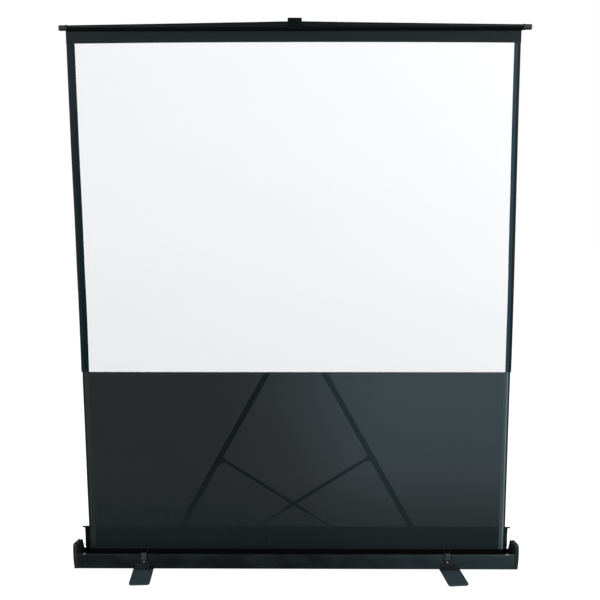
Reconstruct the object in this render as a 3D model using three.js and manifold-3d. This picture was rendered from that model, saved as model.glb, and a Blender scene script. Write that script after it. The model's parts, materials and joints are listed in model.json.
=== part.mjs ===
import * as THREE from "three";
import { mergeVertices } from "three/addons/utils/BufferGeometryUtils.js";
import Module from "manifold-3d";

const wasm = await Module();
wasm.setup();

// Millimetres, +Z up. The floor is z = 0, the cloth hangs in the plane y = 0, the viewer is at -Y.

// Clearances
const TOUCH = 0.3;
const RUNNING = 0.4;
const OVERRUN = 2;

// Picture and cloth
const PICTURE_WIDTH = 1626;
const PICTURE_HEIGHT = 1240;
const SIDE_BORDER = 24;
const TOP_BORDER = 48;
const DROP_HEIGHT = 800;
const CLOTH_THICK = 0.5;

// Feet
const PAD_THICK = 2.2;
const FOOT_THICK = 5;
const FOOT_WIDTH = 80;
const FOOT_LENGTH = 340;
const FOOT_CORNER = 12;
const FOOT_OUTSET = 85.5;
const FOOT_TURN_LEFT = 3.5;
const FOOT_TURN_RIGHT = 6;
const PAD_LENGTH = 28;
const PAD_INSET = 3;
const PIVOT_RADIUS = 5;
const PIVOT_HEAD_RADIUS = 9;
const PIVOT_HEAD_THICK = 1.5;
const NUT_THICK = 6;

// Case
const CASE_MARGIN = 71;
const CASE_FRONT = 50;
const CASE_REAR = 60;
const CASE_WALL = 2;
const CASE_FRONT_HEIGHT = 61;
const CASE_REAR_HEIGHT = 40;
const CASE_LIP = 12;
const CASE_CORNER = 3;
const MOUNT_THICK = 1.9;
const MOUNT_WIDTH = 58;
const MOUNT_FRONT_HEIGHT = 27;
const MOUNT_REACH = 40;

// End caps
const CAP_OUTER_WALL = 6;
const CAP_INNER_WALL = 4;
const CAP_WIDTH = 15.5;
const CAP_HEIGHT = 104;
const CAP_TIP_HEIGHT = 88;
const CAP_TIP_DEPTH = 36;
const CAP_SHOULDER = 46;
const CAP_BACK = 62;
const CAP_ROUND = 6;
const CAP_POCKET_FLOOR = 52;
const CRADLE_DROP = 12;
const CAP_FRONT_WALL = 5;
const SCREW_RADIUS = 6;
const SCREW_HEAD = 2.4;
const SCREW_INSET = 44;

// Lid and its hinge
const LID_INSET = 21;
const LID_TOP = 141;
const LID_SHEET = 2;
const LID_BOW = 5;
const LID_LIP = 8;
const LID_AXIS_Y = 65.5;
const LID_AXIS_Z = 54;
const HINGE_ROD_RADIUS = 2.5;
const KNUCKLE_RADIUS = 4.5;
const KNUCKLE_LENGTH = 96;
const RAIL_DROP = 26;
const RAIL_THICK = 2;
const HORN_LENGTH = 8;
const HORN_THICK = 3.5;
const END_PLATE = 2;
const KEEPER_WIDTH = 26;
const KEEPER_HEIGHT = 12;
const KEEPER_DEPTH = 5;

// Latches
const LATCH_OUTSET = 77.5;
const LATCH_WIDTH = 28;
const LATCH_PLATE = 2;
const LATCH_LOW = 36.5;
const LATCH_HIGH = 56;
const LEVER_WIDTH = 20;
const LEVER_SHEET = 2;
const LEVER_TOP = 80;
const LEVER_AXIS_OUT = 6;
const LEVER_BARREL = 3.2;
const LEVER_PIN = 1.5;
const EAR_THICK = 2;
const RIVET_RADIUS = 4;
const RIVET_DOME = 2;
const RIVET_Z = 42;
const BAIL_WIRE = 1.25;
const BAIL_REACH = 30;
const BAIL_RISE = 15;
const BAIL_PIVOT_Z = 73.5;
const BAIL_END = 5;
const BAIL_BEND = 2.4;
const BAIL_BARREL = 2.7;

// Roller
const ROLLER_RADIUS = 19;
const ROLLER_WALL = 2;
const ROLLER_MARGIN = 29;
const WOUND_RADIUS = 21.5;
const ROLLER_Z = 37;
const SPINDLE_RADIUS = 5;
const PLUG_DEPTH = 24;
const PLUG_FLANGE = 2;
const MANDREL_RADIUS = 5.5;
const MANDREL_LENGTH = 360;
const SPRING_WIRE = 1.3;
const SPRING_RADIUS = 10;
const SPRING_TURNS = 12;
const BRACKET_SHEET = 3;
const ROLLER_BRACKET_GAP = 10;

// Folding arms
const ARM_TURN = 61;
const ARM_BASE_SHARE = 0.2967;
const ARM_BASE_Z = 48;
const ARM_WIDTH = 22;
const ARM_THICK = 8;
const UPPER_WIDTH = 18;
const ARM_GAP = 4.5;
const ARM_FRONT_GAP = 7;
const HUB_PIN_HALF = 13.5;
const HUB_DROP = 2;
const ARM_PIN_RADIUS = 5;
const ELBOW_PIN_RADIUS = 4;
const HUB_PIN_RADIUS = 3.5;
const PIN_HEAD = 1.5;
const PIN_HEAD_MARGIN = 3;
const SHEET = 2.5;
const BRACKET_WIDTH = 34;
const BRACKET_FLANGE = 14;
const HUB_WIDTH = 52;
const HUB_HEIGHT = 30;
const HUB_SHEET = 2;

// Gas struts
const STRUT_BASE_SHARE = 0.6665;
const STRUT_BASE_Z = 24;
const LUG_ALONG = 453;
const LUG_OFFSET = 24;
const CYLINDER_RADIUS = 6.5;
const CYLINDER_LENGTH = 385;
const ROD_RADIUS = 3;
const BORE_RADIUS = 3.6;
const EYE_RADIUS = 7;
const EYE_WIDTH = 10;
const STRUT_PIN_RADIUS = 3;
const LUG_PIN_RADIUS = 4;
const EYE_NECK = 12;
const BORE_FLOOR = 40;
const ROD_OVERLAP = 20;
const STRUT_BRACKET_WIDTH = 22;

// Top bar
const BAR_MARGIN = 27;
const BAR_DEPTH = 28;
const BAR_END_HEIGHT = 21;
const BAR_MID_HEIGHT = 34;
const BAR_WALL = 2;
const BAR_ROUND = 6;
const BAR_CROWN_POWER = 1.3;
const BAR_STEPS = 12;
const PIN_RADIUS = 10.2;
const PIN_LENGTH = 24;
const RING_THICK = 7;
const RING_MARGIN = 1.2;
const PIN_CHAMFER = 2;
const GRIP_WIDTH = 52;
const GRIP_WALL = 3.2;
const GRIP_RISE = 9;
const GRIP_REAR = 2;
const GRIP_ROUND = 4;

// How far the screen comes down, so that the bar rests just over the case lip
const FOLDED_GAP = 4;

// Levels and places worked out from the sizes above
const CLOTH_HALF = PICTURE_WIDTH / 2 + SIDE_BORDER;
const CASE_LENGTH = PICTURE_WIDTH + 2 * CASE_MARGIN;
const LID_LENGTH = CASE_LENGTH - 2 * LID_INSET;
const ROLLER_LENGTH = PICTURE_WIDTH + 2 * ROLLER_MARGIN;
const BAR_LENGTH = PICTURE_WIDTH + 2 * BAR_MARGIN;
const ARM_BASE_HALF = CASE_LENGTH * ARM_BASE_SHARE;
const STRUT_BASE_HALF = ARM_BASE_HALF * STRUT_BASE_SHARE;
const FOOT_SPACING = 2 * (ARM_BASE_HALF + FOOT_OUTSET);
const LATCH_SPACING = 2 * (ARM_BASE_HALF + LATCH_OUTSET);
const FOOT_BOTTOM = PAD_THICK + TOUCH;
const FOOT_TOP = FOOT_BOTTOM + FOOT_THICK;
const MOUNT_BOTTOM = FOOT_TOP + TOUCH;
const CASE_BOTTOM = MOUNT_BOTTOM + MOUNT_THICK + TOUCH;
const CASE_FLOOR = CASE_BOTTOM + CASE_WALL;
const CASE_TOP = CASE_BOTTOM + CASE_FRONT_HEIGHT;
const REAR_TOP = CASE_BOTTOM + CASE_REAR_HEIGHT;
const STAND_Z = CASE_FLOOR + TOUCH;
const CAP_INNER_X = CASE_LENGTH / 2 - CAP_WIDTH;
const BAR_BOTTOM = DROP_HEIGHT + PICTURE_HEIGHT + TOP_BORDER;
const BAR_FOLDED = CASE_TOP + FOLDED_GAP;
const TRAVEL = BAR_BOTTOM - BAR_FOLDED;
const HUB_Z = BAR_BOTTOM - HUB_DROP;
const ROLLER_Y = -(WOUND_RADIUS + CLOTH_THICK / 2 + TOUCH);

// Depth planes of the arms and struts, front to back: left arm, upper arms and left strut, right arm, right strut
const LEFT_ARM_Y = ARM_FRONT_GAP;
const UPPER_Y = LEFT_ARM_Y + ARM_THICK + ARM_GAP;
const RIGHT_ARM_Y = UPPER_Y + ARM_THICK + ARM_GAP;
const LEFT_STRUT_Y = UPPER_Y + ARM_THICK / 2;
const RIGHT_STRUT_Y = RIGHT_ARM_Y + ARM_THICK + CYLINDER_RADIUS + SHEET - 2 * TOUCH;

// The arms fold flat and stand up to the same hub, which gives both lengths
const RISE = (ARM_TURN * Math.PI) / 180;
const HUB_REACH = ARM_BASE_HALF + HUB_PIN_HALF;
const HUB_UP = HUB_Z - ARM_BASE_Z;
const HUB_FOLDED = HUB_UP - TRAVEL;
const LOWER_LENGTH = (HUB_UP ** 2 - HUB_FOLDED ** 2)
  / (2 * (HUB_UP * Math.sin(RISE) - HUB_REACH * (1 - Math.cos(RISE))));
const UPPER_LENGTH = Math.hypot(LOWER_LENGTH - HUB_REACH, HUB_FOLDED);
const ELBOW_X = -ARM_BASE_HALF + LOWER_LENGTH * Math.cos(RISE);
const ELBOW_Z = ARM_BASE_Z + LOWER_LENGTH * Math.sin(RISE);
const UPPER_ANGLE = Math.atan2(HUB_Z - ELBOW_Z, HUB_PIN_HALF - ELBOW_X);

// Strut ends, standing and folded
const LUG_X = -ARM_BASE_HALF + LUG_ALONG * Math.cos(RISE) + LUG_OFFSET * Math.sin(RISE);
const LUG_Z = ARM_BASE_Z + LUG_ALONG * Math.sin(RISE) - LUG_OFFSET * Math.cos(RISE);
const STRUT_LENGTH = Math.hypot(STRUT_BASE_HALF - LUG_X, LUG_Z - STRUT_BASE_Z);
const STRUT_ANGLE = Math.atan2(LUG_Z - STRUT_BASE_Z, LUG_X - STRUT_BASE_HALF);
const ROD_LENGTH = STRUT_LENGTH - (EYE_NECK + CYLINDER_LENGTH - ROD_OVERLAP);

const screen = new THREE.Group();

// Materials
function finish(color, roughness, metalness) {
  return new THREE.MeshStandardMaterial({ color, roughness, metalness });
}

const caseBlack = () => finish(0x1c2222, 0.42, 0.6);
const plasticBlack = () => finish(0x232a2a, 0.5, 0);
const steelBlack = () => finish(0x15191a, 0.45, 0.5);
const footGrey = () => finish(0x323e44, 0.5, 0.4);
const rubberBlack = () => finish(0x101212, 0.9, 0);
const zinc = () => finish(0xb4b8b8, 0.3, 1);
const leverGrey = () => finish(0x3c4246, 0.45, 0.4);
const whiteCloth = () => finish(0xf4f5f6, 0.85, 0);
const blackCloth = () => finish(0x262c2e, 0.9, 0);

function addPiece(name, geometry, material, parent = screen) {
  const piece = new THREE.Mesh(geometry, material);
  piece.name = name;
  parent.add(piece);
  return piece;
}

// Solids joined and cut by booleans
function toSolid(geometry) {
  const bare = geometry.clone();
  bare.deleteAttribute("normal");
  bare.deleteAttribute("uv");
  const merged = mergeVertices(bare, 1e-4);
  return new wasm.Manifold(new wasm.Mesh({
    numProp: 3,
    vertProperties: new Float32Array(merged.attributes.position.array),
    triVerts: new Uint32Array(merged.index.array),
  }));
}

function toGeometry(solid) {
  const mesh = solid.getMesh();
  const geometry = new THREE.BufferGeometry();
  geometry.setAttribute("position", new THREE.BufferAttribute(mesh.vertProperties, 3));
  geometry.setIndex(new THREE.BufferAttribute(mesh.triVerts, 1));
  geometry.computeVertexNormals();
  return geometry;
}

function join(first, ...others) {
  return toGeometry(others.reduce((sum, other) => sum.add(toSolid(other)), toSolid(first)));
}

function cut(first, ...others) {
  return toGeometry(others.reduce((sum, other) => sum.subtract(toSolid(other)), toSolid(first)));
}

// Outlines with rounded corners: each point is [a, b, radius]
function roundedShape(points) {
  const shape = new THREE.Shape();
  const count = points.length;
  points.forEach((point, index) => {
    const corner = new THREE.Vector2(point[0], point[1]);
    const before = new THREE.Vector2(...points[(index + count - 1) % count]).sub(corner);
    const after = new THREE.Vector2(...points[(index + 1) % count]).sub(corner);
    const radius = point[2] ?? 0;
    const half = Math.acos(before.clone().normalize().dot(after.clone().normalize())) / 2;
    const back = radius / Math.tan(half);
    const start = corner.clone().addScaledVector(before.normalize(), back);
    const end = corner.clone().addScaledVector(after.normalize(), back);
    if (index === 0) {
      shape.moveTo(start.x, start.y);
    } else {
      shape.lineTo(start.x, start.y);
    }
    if (radius > 0) {
      shape.quadraticCurveTo(corner.x, corner.y, end.x, end.y);
    }
  });
  shape.closePath();
  return shape;
}

function circleHole(a, b, radius) {
  const hole = new THREE.Path();
  hole.absarc(a, b, radius, 0, 2 * Math.PI, true);
  return hole;
}

// Outline in x and z, thick along y
function plateXZ(shape, front, back, segments = 6) {
  const settings = { depth: back - front, bevelEnabled: false, curveSegments: segments };
  return new THREE.ExtrudeGeometry(shape, settings).rotateX(Math.PI / 2).translate(0, back, 0);
}

// Outline in y and z, long along x
function barYZ(shape, start, end, segments = 4) {
  const settings = { depth: end - start, bevelEnabled: false, curveSegments: segments };
  const axes = new THREE.Matrix4().makeBasis(
    new THREE.Vector3(0, 1, 0), new THREE.Vector3(0, 0, 1), new THREE.Vector3(1, 0, 0));
  return new THREE.ExtrudeGeometry(shape, settings).applyMatrix4(axes).translate(start, 0, 0);
}

// Outline in x and y, thick along z
function plateXY(shape, bottom, top, segments = 4) {
  const settings = { depth: top - bottom, bevelEnabled: false, curveSegments: segments };
  return new THREE.ExtrudeGeometry(shape, settings).translate(0, 0, bottom);
}

function block(x0, x1, y0, y1, z0, z1) {
  return new THREE.BoxGeometry(x1 - x0, y1 - y0, z1 - z0)
    .translate((x0 + x1) / 2, (y0 + y1) / 2, (z0 + z1) / 2);
}

// Turned pieces: profile points are [radius, place along the axis]
function turned(profile, sides = 16) {
  return new THREE.LatheGeometry(profile.map(([r, h]) => new THREE.Vector2(r, h)), sides);
}

function turnedX(profile, sides = 16) {
  return turned(profile, sides).rotateZ(-Math.PI / 2);
}

function turnedY(profile, sides = 16) {
  return turned(profile, sides);
}

function turnedZ(profile, sides = 16) {
  return turned(profile, sides).rotateX(Math.PI / 2);
}

function rod(radius, start, end) {
  return [[0, start], [radius, start], [radius, end], [0, end]];
}

function mirrored(side, a, b) {
  return side < 0 ? [-b, -a] : [a, b];
}

const SIDES = [["left", -1], ["right", 1]];

// Case: open trough with a lip along the front
function makeTrough() {
  const outline = roundedShape([
    [-CASE_FRONT, CASE_BOTTOM, CASE_CORNER],
    [CASE_REAR, CASE_BOTTOM, CASE_CORNER],
    [CASE_REAR, REAR_TOP],
    [CASE_REAR - CASE_WALL, REAR_TOP],
    [CASE_REAR - CASE_WALL, CASE_FLOOR],
    [-CASE_FRONT + CASE_WALL, CASE_FLOOR],
    [-CASE_FRONT + CASE_WALL, CASE_TOP - CASE_WALL],
    [-CASE_FRONT + CASE_LIP, CASE_TOP - CASE_WALL],
    [-CASE_FRONT + CASE_LIP, CASE_TOP],
    [-CASE_FRONT, CASE_TOP, CASE_CORNER],
  ]);
  const half = CAP_INNER_X - TOUCH;
  const holes = SIDES.map(([, side]) => turnedZ(
    rod(PIVOT_RADIUS + RUNNING, CASE_BOTTOM - OVERRUN, CASE_FLOOR + OVERRUN), 12)
    .translate((side * FOOT_SPACING) / 2, 0, 0));
  addPiece("case_trough", cut(barYZ(outline, -half, half, 2), ...holes), caseBlack());
}

// End caps: an outer and an inner wall with a pocket between, and a cradle for the bar's pin
function capOutline() {
  const top = CASE_BOTTOM + CAP_HEIGHT;
  return roundedShape([
    [-CASE_FRONT, CASE_BOTTOM, CAP_ROUND],
    [CAP_BACK, CASE_BOTTOM, CAP_ROUND],
    [CAP_BACK, REAR_TOP],
    [CAP_TIP_DEPTH, CASE_BOTTOM + CAP_TIP_HEIGHT, RUNNING],
    [-CAP_SHOULDER, top, CAP_ROUND / 2],
    [-CASE_FRONT, top - CAP_ROUND, CAP_ROUND / 2],
  ]);
}

function makeEndCaps() {
  for (const [name, side] of SIDES) {
    const outer = CASE_LENGTH / 2;
    const body = barYZ(capOutline(), ...mirrored(side, CAP_INNER_X, outer), 3);
    const pocket = block(
      ...mirrored(side, CAP_INNER_X + CAP_INNER_WALL, outer - CAP_OUTER_WALL),
      -CASE_FRONT + CAP_FRONT_WALL, CAP_BACK + OVERRUN, CAP_POCKET_FLOOR, CASE_BOTTOM + CAP_HEIGHT + OVERRUN);
    const cradleHalf = PIN_RADIUS + RUNNING + TOUCH;
    const cradle = block(
      ...mirrored(side, CAP_INNER_X - OVERRUN, CAP_INNER_X + CAP_INNER_WALL + OVERRUN),
      -cradleHalf, cradleHalf, BAR_FOLDED - CRADLE_DROP, CASE_BOTTOM + CAP_HEIGHT + OVERRUN);
    addPiece(`end_cap_${name}`, cut(body, pocket, cradle), plasticBlack());
    const screw = turnedZ([
      [0, CASE_TOP + TOUCH], [SCREW_RADIUS, CASE_TOP + TOUCH],
      [SCREW_RADIUS - TOUCH, CASE_TOP + SCREW_HEAD / 2], [SCREW_RADIUS / 2, CASE_TOP + SCREW_HEAD],
      [0, CASE_TOP + SCREW_HEAD]]);
    addPiece(`cap_screw_${name}`, screw, zinc())
      .position.set(side * (CASE_LENGTH / 2 - SCREW_INSET), -CASE_FRONT + CASE_LIP / 2, 0);
  }
}

// Lid hinge: knuckles of the rail and of the lid take turns along one rod
function knuckleBoxes(first) {
  const boxes = [];
  const reach = KNUCKLE_RADIUS + TOUCH;
  const half = LID_LENGTH / 2;
  for (let start = -half + first * KNUCKLE_LENGTH; start < half; start += 2 * KNUCKLE_LENGTH) {
    const end = Math.min(start + KNUCKLE_LENGTH, half + OVERRUN);
    boxes.push(block(start - TOUCH, end + TOUCH, LID_AXIS_Y - reach, LID_AXIS_Y + reach,
      LID_AXIS_Z - reach, LID_AXIS_Z + reach));
  }
  return boxes;
}

function ringBar(half) {
  const ring = new THREE.Shape();
  ring.absarc(LID_AXIS_Y, LID_AXIS_Z, KNUCKLE_RADIUS, 0, 2 * Math.PI, false);
  return barYZ(ring, -half, half, 5);
}

function rodHole(half) {
  const hole = new THREE.Shape();
  hole.absarc(LID_AXIS_Y, LID_AXIS_Z, HINGE_ROD_RADIUS + RUNNING, 0, 2 * Math.PI, false);
  return barYZ(hole, -half - OVERRUN, half + OVERRUN, 4);
}

function makeHingeRail() {
  const half = LID_LENGTH / 2;
  const strip = block(-half, half, CASE_REAR + TOUCH, CASE_REAR + TOUCH + RAIL_THICK,
    LID_AXIS_Z - RAIL_DROP, LID_AXIS_Z - TOUCH);
  const rail = cut(join(strip, ringBar(half)), ...knuckleBoxes(1), rodHole(half));
  addPiece("lid_hinge_rail", rail, caseBlack());
  const pin = turnedX(rod(HINGE_ROD_RADIUS, -half, half), 8);
  addPiece("lid_hinge_rod", pin, steelBlack()).position.set(0, LID_AXIS_Y, LID_AXIS_Z);
}

// Lid: a bowed sheet on its knuckles, with a lip turned forward along the top
function lidOutline(margin) {
  const low = LID_AXIS_Z + KNUCKLE_RADIUS - LID_SHEET;
  const high = LID_TOP - LID_SHEET / 2;
  const steps = 6;
  const back = [];
  const front = [];
  for (let i = 0; i <= steps; i++) {
    const share = i / steps;
    const bow = LID_BOW * (1 - (2 * share - 1) ** 2);
    const z = low + share * (high - low);
    back.push([LID_AXIS_Y + LID_SHEET / 2 + bow + margin, z]);
    front.unshift([LID_AXIS_Y - LID_SHEET / 2 + bow - margin, z]);
  }
  front.shift();
  const lipEnd = LID_AXIS_Y - LID_SHEET / 2 - LID_LIP;
  return roundedShape([
    ...back,
    [LID_AXIS_Y + LID_SHEET / 2, LID_TOP],
    [lipEnd, LID_TOP],
    [lipEnd, LID_TOP - LID_SHEET - margin],
    [LID_AXIS_Y - LID_SHEET / 2 - margin, LID_TOP - LID_SHEET - margin],
    ...front,
  ]);
}

function makeLid(lid) {
  const half = LID_LENGTH / 2;
  const rings = cut(ringBar(half), ...knuckleBoxes(0));
  const sheet = cut(barYZ(lidOutline(0), -half, half), ...knuckleBoxes(0));
  addPiece("lid_panel", cut(join(sheet, rings), rodHole(half)), caseBlack(), lid);
  for (const [name, side] of SIDES) {
    const start = half + TOUCH;
    const plate = barYZ(lidOutline(LID_SHEET / 2), ...mirrored(side, start, start + END_PLATE));
    const lipEnd = LID_AXIS_Y - LID_SHEET / 2 - LID_LIP;
    const horn = block(...mirrored(side, start, start + END_PLATE + HORN_LENGTH),
      lipEnd, LID_AXIS_Y, LID_TOP - HORN_THICK, LID_TOP);
    addPiece(`lid_end_${name}`, join(plate, horn), plasticBlack(), lid);
    const keeper = plateXZ(roundedShape([
      [-KEEPER_WIDTH / 2, -KEEPER_HEIGHT, LID_SHEET], [KEEPER_WIDTH / 2, -KEEPER_HEIGHT, LID_SHEET],
      [KEEPER_WIDTH / 2, 0, LID_SHEET], [-KEEPER_WIDTH / 2, 0, LID_SHEET]]), 0, KEEPER_DEPTH, 3);
    addPiece(`lid_keeper_${name}`, keeper, steelBlack(), lid).position.set(
      (side * LATCH_SPACING) / 2, LID_AXIS_Y + LID_SHEET / 2 + LID_BOW, LID_TOP - KEEPER_HEIGHT / 2);
  }
}

// Latches: a riveted base with two ears, a lever on a pin, and a wire bail
function makeLatches() {
  for (const [name, side] of SIDES) {
    const x = (side * LATCH_SPACING) / 2;
    const wall = -CASE_FRONT - TOUCH;
    const axisY = -CASE_FRONT - LEVER_AXIS_OUT;
    const half = LATCH_WIDTH / 2;
    const plate = plateXZ(roundedShape([
      [-half, LATCH_LOW, LATCH_PLATE], [half, LATCH_LOW, LATCH_PLATE],
      [half, LATCH_HIGH + LEVER_BARREL], [-half, LATCH_HIGH + LEVER_BARREL]]),
    wall - LATCH_PLATE, wall, 3);
    const earInner = LEVER_WIDTH / 2 + RUNNING;
    const ears = SIDES.map(([, ear]) => block(
      ...mirrored(ear, earInner, earInner + EAR_THICK), axisY - LEVER_BARREL, wall - LATCH_PLATE / 2,
      LATCH_HIGH - LEVER_BARREL, LATCH_HIGH + LEVER_BARREL));
    const pin = turnedX(rod(LEVER_PIN, -earInner - EAR_THICK / 2, earInner + EAR_THICK / 2), 8)
      .translate(0, axisY, LATCH_HIGH);
    addPiece(`latch_base_${name}`, join(plate, ...ears, pin), steelBlack()).position.x = x;
    const dome = turnedY([
      [0, -RIVET_DOME], [RIVET_RADIUS / 2, -RIVET_DOME + TOUCH], [RIVET_RADIUS, 0], [0, 0]]);
    addPiece(`latch_rivet_${name}`, dome, zinc()).position.set(x, wall - LATCH_PLATE - TOUCH, RIVET_Z);
    addPiece(`latch_lever_${name}`, leverGeometry(axisY), leverGrey()).position.x = x;
    addPiece(`latch_bail_${name}`, bailGeometry(axisY), steelBlack()).position.x = x;
  }
}

function leverGeometry(axisY) {
  const half = LEVER_WIDTH / 2;
  const barrel = turnedX(rod(LEVER_BARREL, -half, half), 12).translate(0, axisY, LATCH_HIGH);
  const bore = turnedX(rod(LEVER_PIN + RUNNING, -half - OVERRUN, half + OVERRUN), 8)
    .translate(0, axisY, LATCH_HIGH);
  const back = axisY + LEVER_BARREL;
  const strap = plateXZ(roundedShape([
    [-half, LATCH_HIGH], [half, LATCH_HIGH],
    [half, LEVER_TOP, LEVER_BARREL], [-half, LEVER_TOP, LEVER_BARREL]]), back - LEVER_SHEET, back, 3);
  const eyeY = back - LEVER_SHEET / 2;
  const eye = turnedX(rod(BAIL_BARREL, -half, half), 12).translate(0, eyeY, BAIL_PIVOT_Z);
  const eyeBore = turnedX(rod(BAIL_WIRE + RUNNING, -half - OVERRUN, half + OVERRUN), 10)
    .translate(0, eyeY, BAIL_PIVOT_Z);
  return cut(join(barrel, strap, eye), bore, eyeBore);
}

function bailGeometry(axisY) {
  const side = LEVER_WIDTH / 2 + TOUCH + BAIL_WIRE;
  const y = axisY + LEVER_BARREL - LEVER_SHEET / 2;
  const tipY = y + BAIL_REACH;
  const tipZ = BAIL_PIVOT_Z + BAIL_RISE;
  return wire([
    [-side + BAIL_END, y, BAIL_PIVOT_Z], [-side, y, BAIL_PIVOT_Z], [-side, tipY, tipZ],
    [side, tipY, tipZ], [side, y, BAIL_PIVOT_Z], [side - BAIL_END, y, BAIL_PIVOT_Z]], BAIL_WIRE, BAIL_BEND);
}

// Bent wire: straight runs with a round bend at each inner corner
function wire(points, radius, bend) {
  const path = new THREE.CurvePath();
  const corners = points.map((point) => new THREE.Vector3(...point));
  let from = corners[0];
  for (let i = 1; i + 1 < corners.length; i++) {
    const enter = corners[i].clone().lerp(corners[i - 1], bend / corners[i].distanceTo(corners[i - 1]));
    const leave = corners[i].clone().lerp(corners[i + 1], bend / corners[i].distanceTo(corners[i + 1]));
    path.add(new THREE.LineCurve3(from, enter));
    path.add(new THREE.QuadraticBezierCurve3(enter, corners[i], leave));
    from = leave;
  }
  path.add(new THREE.LineCurve3(from, corners[corners.length - 1]));
  const section = new THREE.Shape();
  section.absarc(0, 0, radius, 0, 2 * Math.PI, false);
  return new THREE.ExtrudeGeometry(section, { steps: 60, extrudePath: path, curveSegments: 3 });
}

// Foot mounts, bolts, feet and their rubber pads
function makeFootMounts() {
  for (const [name, side] of SIDES) {
    const x = (side * FOOT_SPACING) / 2;
    const front = -CASE_FRONT - TOUCH;
    const half = MOUNT_WIDTH / 2;
    const angle = new THREE.Shape();
    const outline = [
      [front - MOUNT_THICK, MOUNT_BOTTOM], [MOUNT_REACH, MOUNT_BOTTOM],
      [MOUNT_REACH, MOUNT_BOTTOM + MOUNT_THICK], [front, MOUNT_BOTTOM + MOUNT_THICK],
      [front, MOUNT_BOTTOM + MOUNT_FRONT_HEIGHT], [front - MOUNT_THICK, MOUNT_BOTTOM + MOUNT_FRONT_HEIGHT]];
    angle.setFromPoints(outline.map(([y, z]) => new THREE.Vector2(y, z)));
    const hole = turnedZ(rod(PIVOT_RADIUS + RUNNING, 0, CASE_BOTTOM + OVERRUN), 12);
    addPiece(`foot_mount_${name}`, cut(barYZ(angle, -half, half), hole), steelBlack()).position.x = x;
    const flangeTop = FOOT_BOTTOM - TOUCH;
    const flangeBottom = flangeTop - PIVOT_HEAD_THICK;
    const nutBottom = CASE_FLOOR + TOUCH;
    const bolt = turnedZ([
      [0, flangeBottom], [PIVOT_HEAD_RADIUS, flangeBottom], [PIVOT_HEAD_RADIUS, flangeTop],
      [PIVOT_RADIUS, flangeTop], [PIVOT_RADIUS, nutBottom], [PIVOT_HEAD_RADIUS, nutBottom],
      [PIVOT_HEAD_RADIUS, nutBottom + NUT_THICK], [0, nutBottom + NUT_THICK]], 12);
    addPiece(`foot_bolt_${name}`, bolt, zinc()).position.x = x;
  }
}

function footOutline(half, start, end, corner) {
  return roundedShape([[-half, start, corner], [half, start, corner], [half, end, corner], [-half, end, corner]]);
}

function makeFeet() {
  const turns = { left: FOOT_TURN_LEFT, right: FOOT_TURN_RIGHT };
  for (const [name, side] of SIDES) {
    const foot = new THREE.Group();
    foot.position.x = (side * FOOT_SPACING) / 2;
    foot.rotation.z = (turns[name] * Math.PI) / 180;
    const half = FOOT_WIDTH / 2;
    const reach = FOOT_LENGTH / 2;
    const shape = footOutline(half, -reach, reach, FOOT_CORNER);
    shape.holes.push(circleHole(0, 0, PIVOT_RADIUS + RUNNING));
    addPiece(`foot_${name}`, plateXY(shape, FOOT_BOTTOM, FOOT_TOP, 5), footGrey(), foot);
    const padHalf = half - PAD_INSET;
    const near = reach - PAD_INSET;
    const far = near - PAD_LENGTH;
    const corner = FOOT_CORNER - PAD_INSET;
    const ends = [["front", -near, -far], ["rear", far, near]];
    for (const [end, start, stop] of ends) {
      const pad = plateXY(footOutline(padHalf, start, stop, corner), 0, PAD_THICK, 4);
      addPiece(`foot_pad_${name}_${end}`, pad, rubberBlack(), foot);
    }
    screen.add(foot);
  }
}

// Roller: tube, wound cloth, plugs with spindles, mandrel and spring, and the brackets that carry them
function makeRoller() {
  const roller = new THREE.Group();
  roller.position.set(0, ROLLER_Y, ROLLER_Z);
  const half = ROLLER_LENGTH / 2;
  const bore = ROLLER_RADIUS - ROLLER_WALL;
  const tube = [[bore, -half], [ROLLER_RADIUS, -half], [ROLLER_RADIUS, half], [bore, half], [bore, -half]];
  addPiece("roller_tube", turnedX(tube, 20), finish(0x8d9294, 0.4, 0.9), roller);
  const inner = ROLLER_RADIUS + TOUCH;
  const wound = [[inner, -CLOTH_HALF], [WOUND_RADIUS, -CLOTH_HALF], [WOUND_RADIUS, CLOTH_HALF],
    [inner, CLOTH_HALF], [inner, -CLOTH_HALF]];
  addPiece("wound_cloth", turnedX(wound, 24), blackCloth(), roller);
  const spindleEnd = CAP_INNER_X - 2 * TOUCH;
  const plugRadius = bore - TOUCH;
  const base = [[SPINDLE_RADIUS, spindleEnd], [SPINDLE_RADIUS, half + TOUCH + PLUG_FLANGE],
    [ROLLER_RADIUS, half + TOUCH + PLUG_FLANGE], [ROLLER_RADIUS, half + TOUCH], [plugRadius, half + TOUCH],
    [plugRadius, half - PLUG_DEPTH]];
  const right = turnedX([[0, spindleEnd], ...base, [MANDREL_RADIUS, half - PLUG_DEPTH],
    [MANDREL_RADIUS, half - MANDREL_LENGTH], [0, half - MANDREL_LENGTH]].reverse(), 16);
  addPiece("roller_plug_right", right, plasticBlack(), roller);
  const left = turnedX([[0, spindleEnd], ...base, [0, half - PLUG_DEPTH]].reverse(), 16).rotateY(Math.PI);
  addPiece("roller_plug_left", left, plasticBlack(), roller);
  addPiece("roller_spring", springGeometry(half), steelBlack(), roller);
  screen.add(roller);
}

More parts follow.
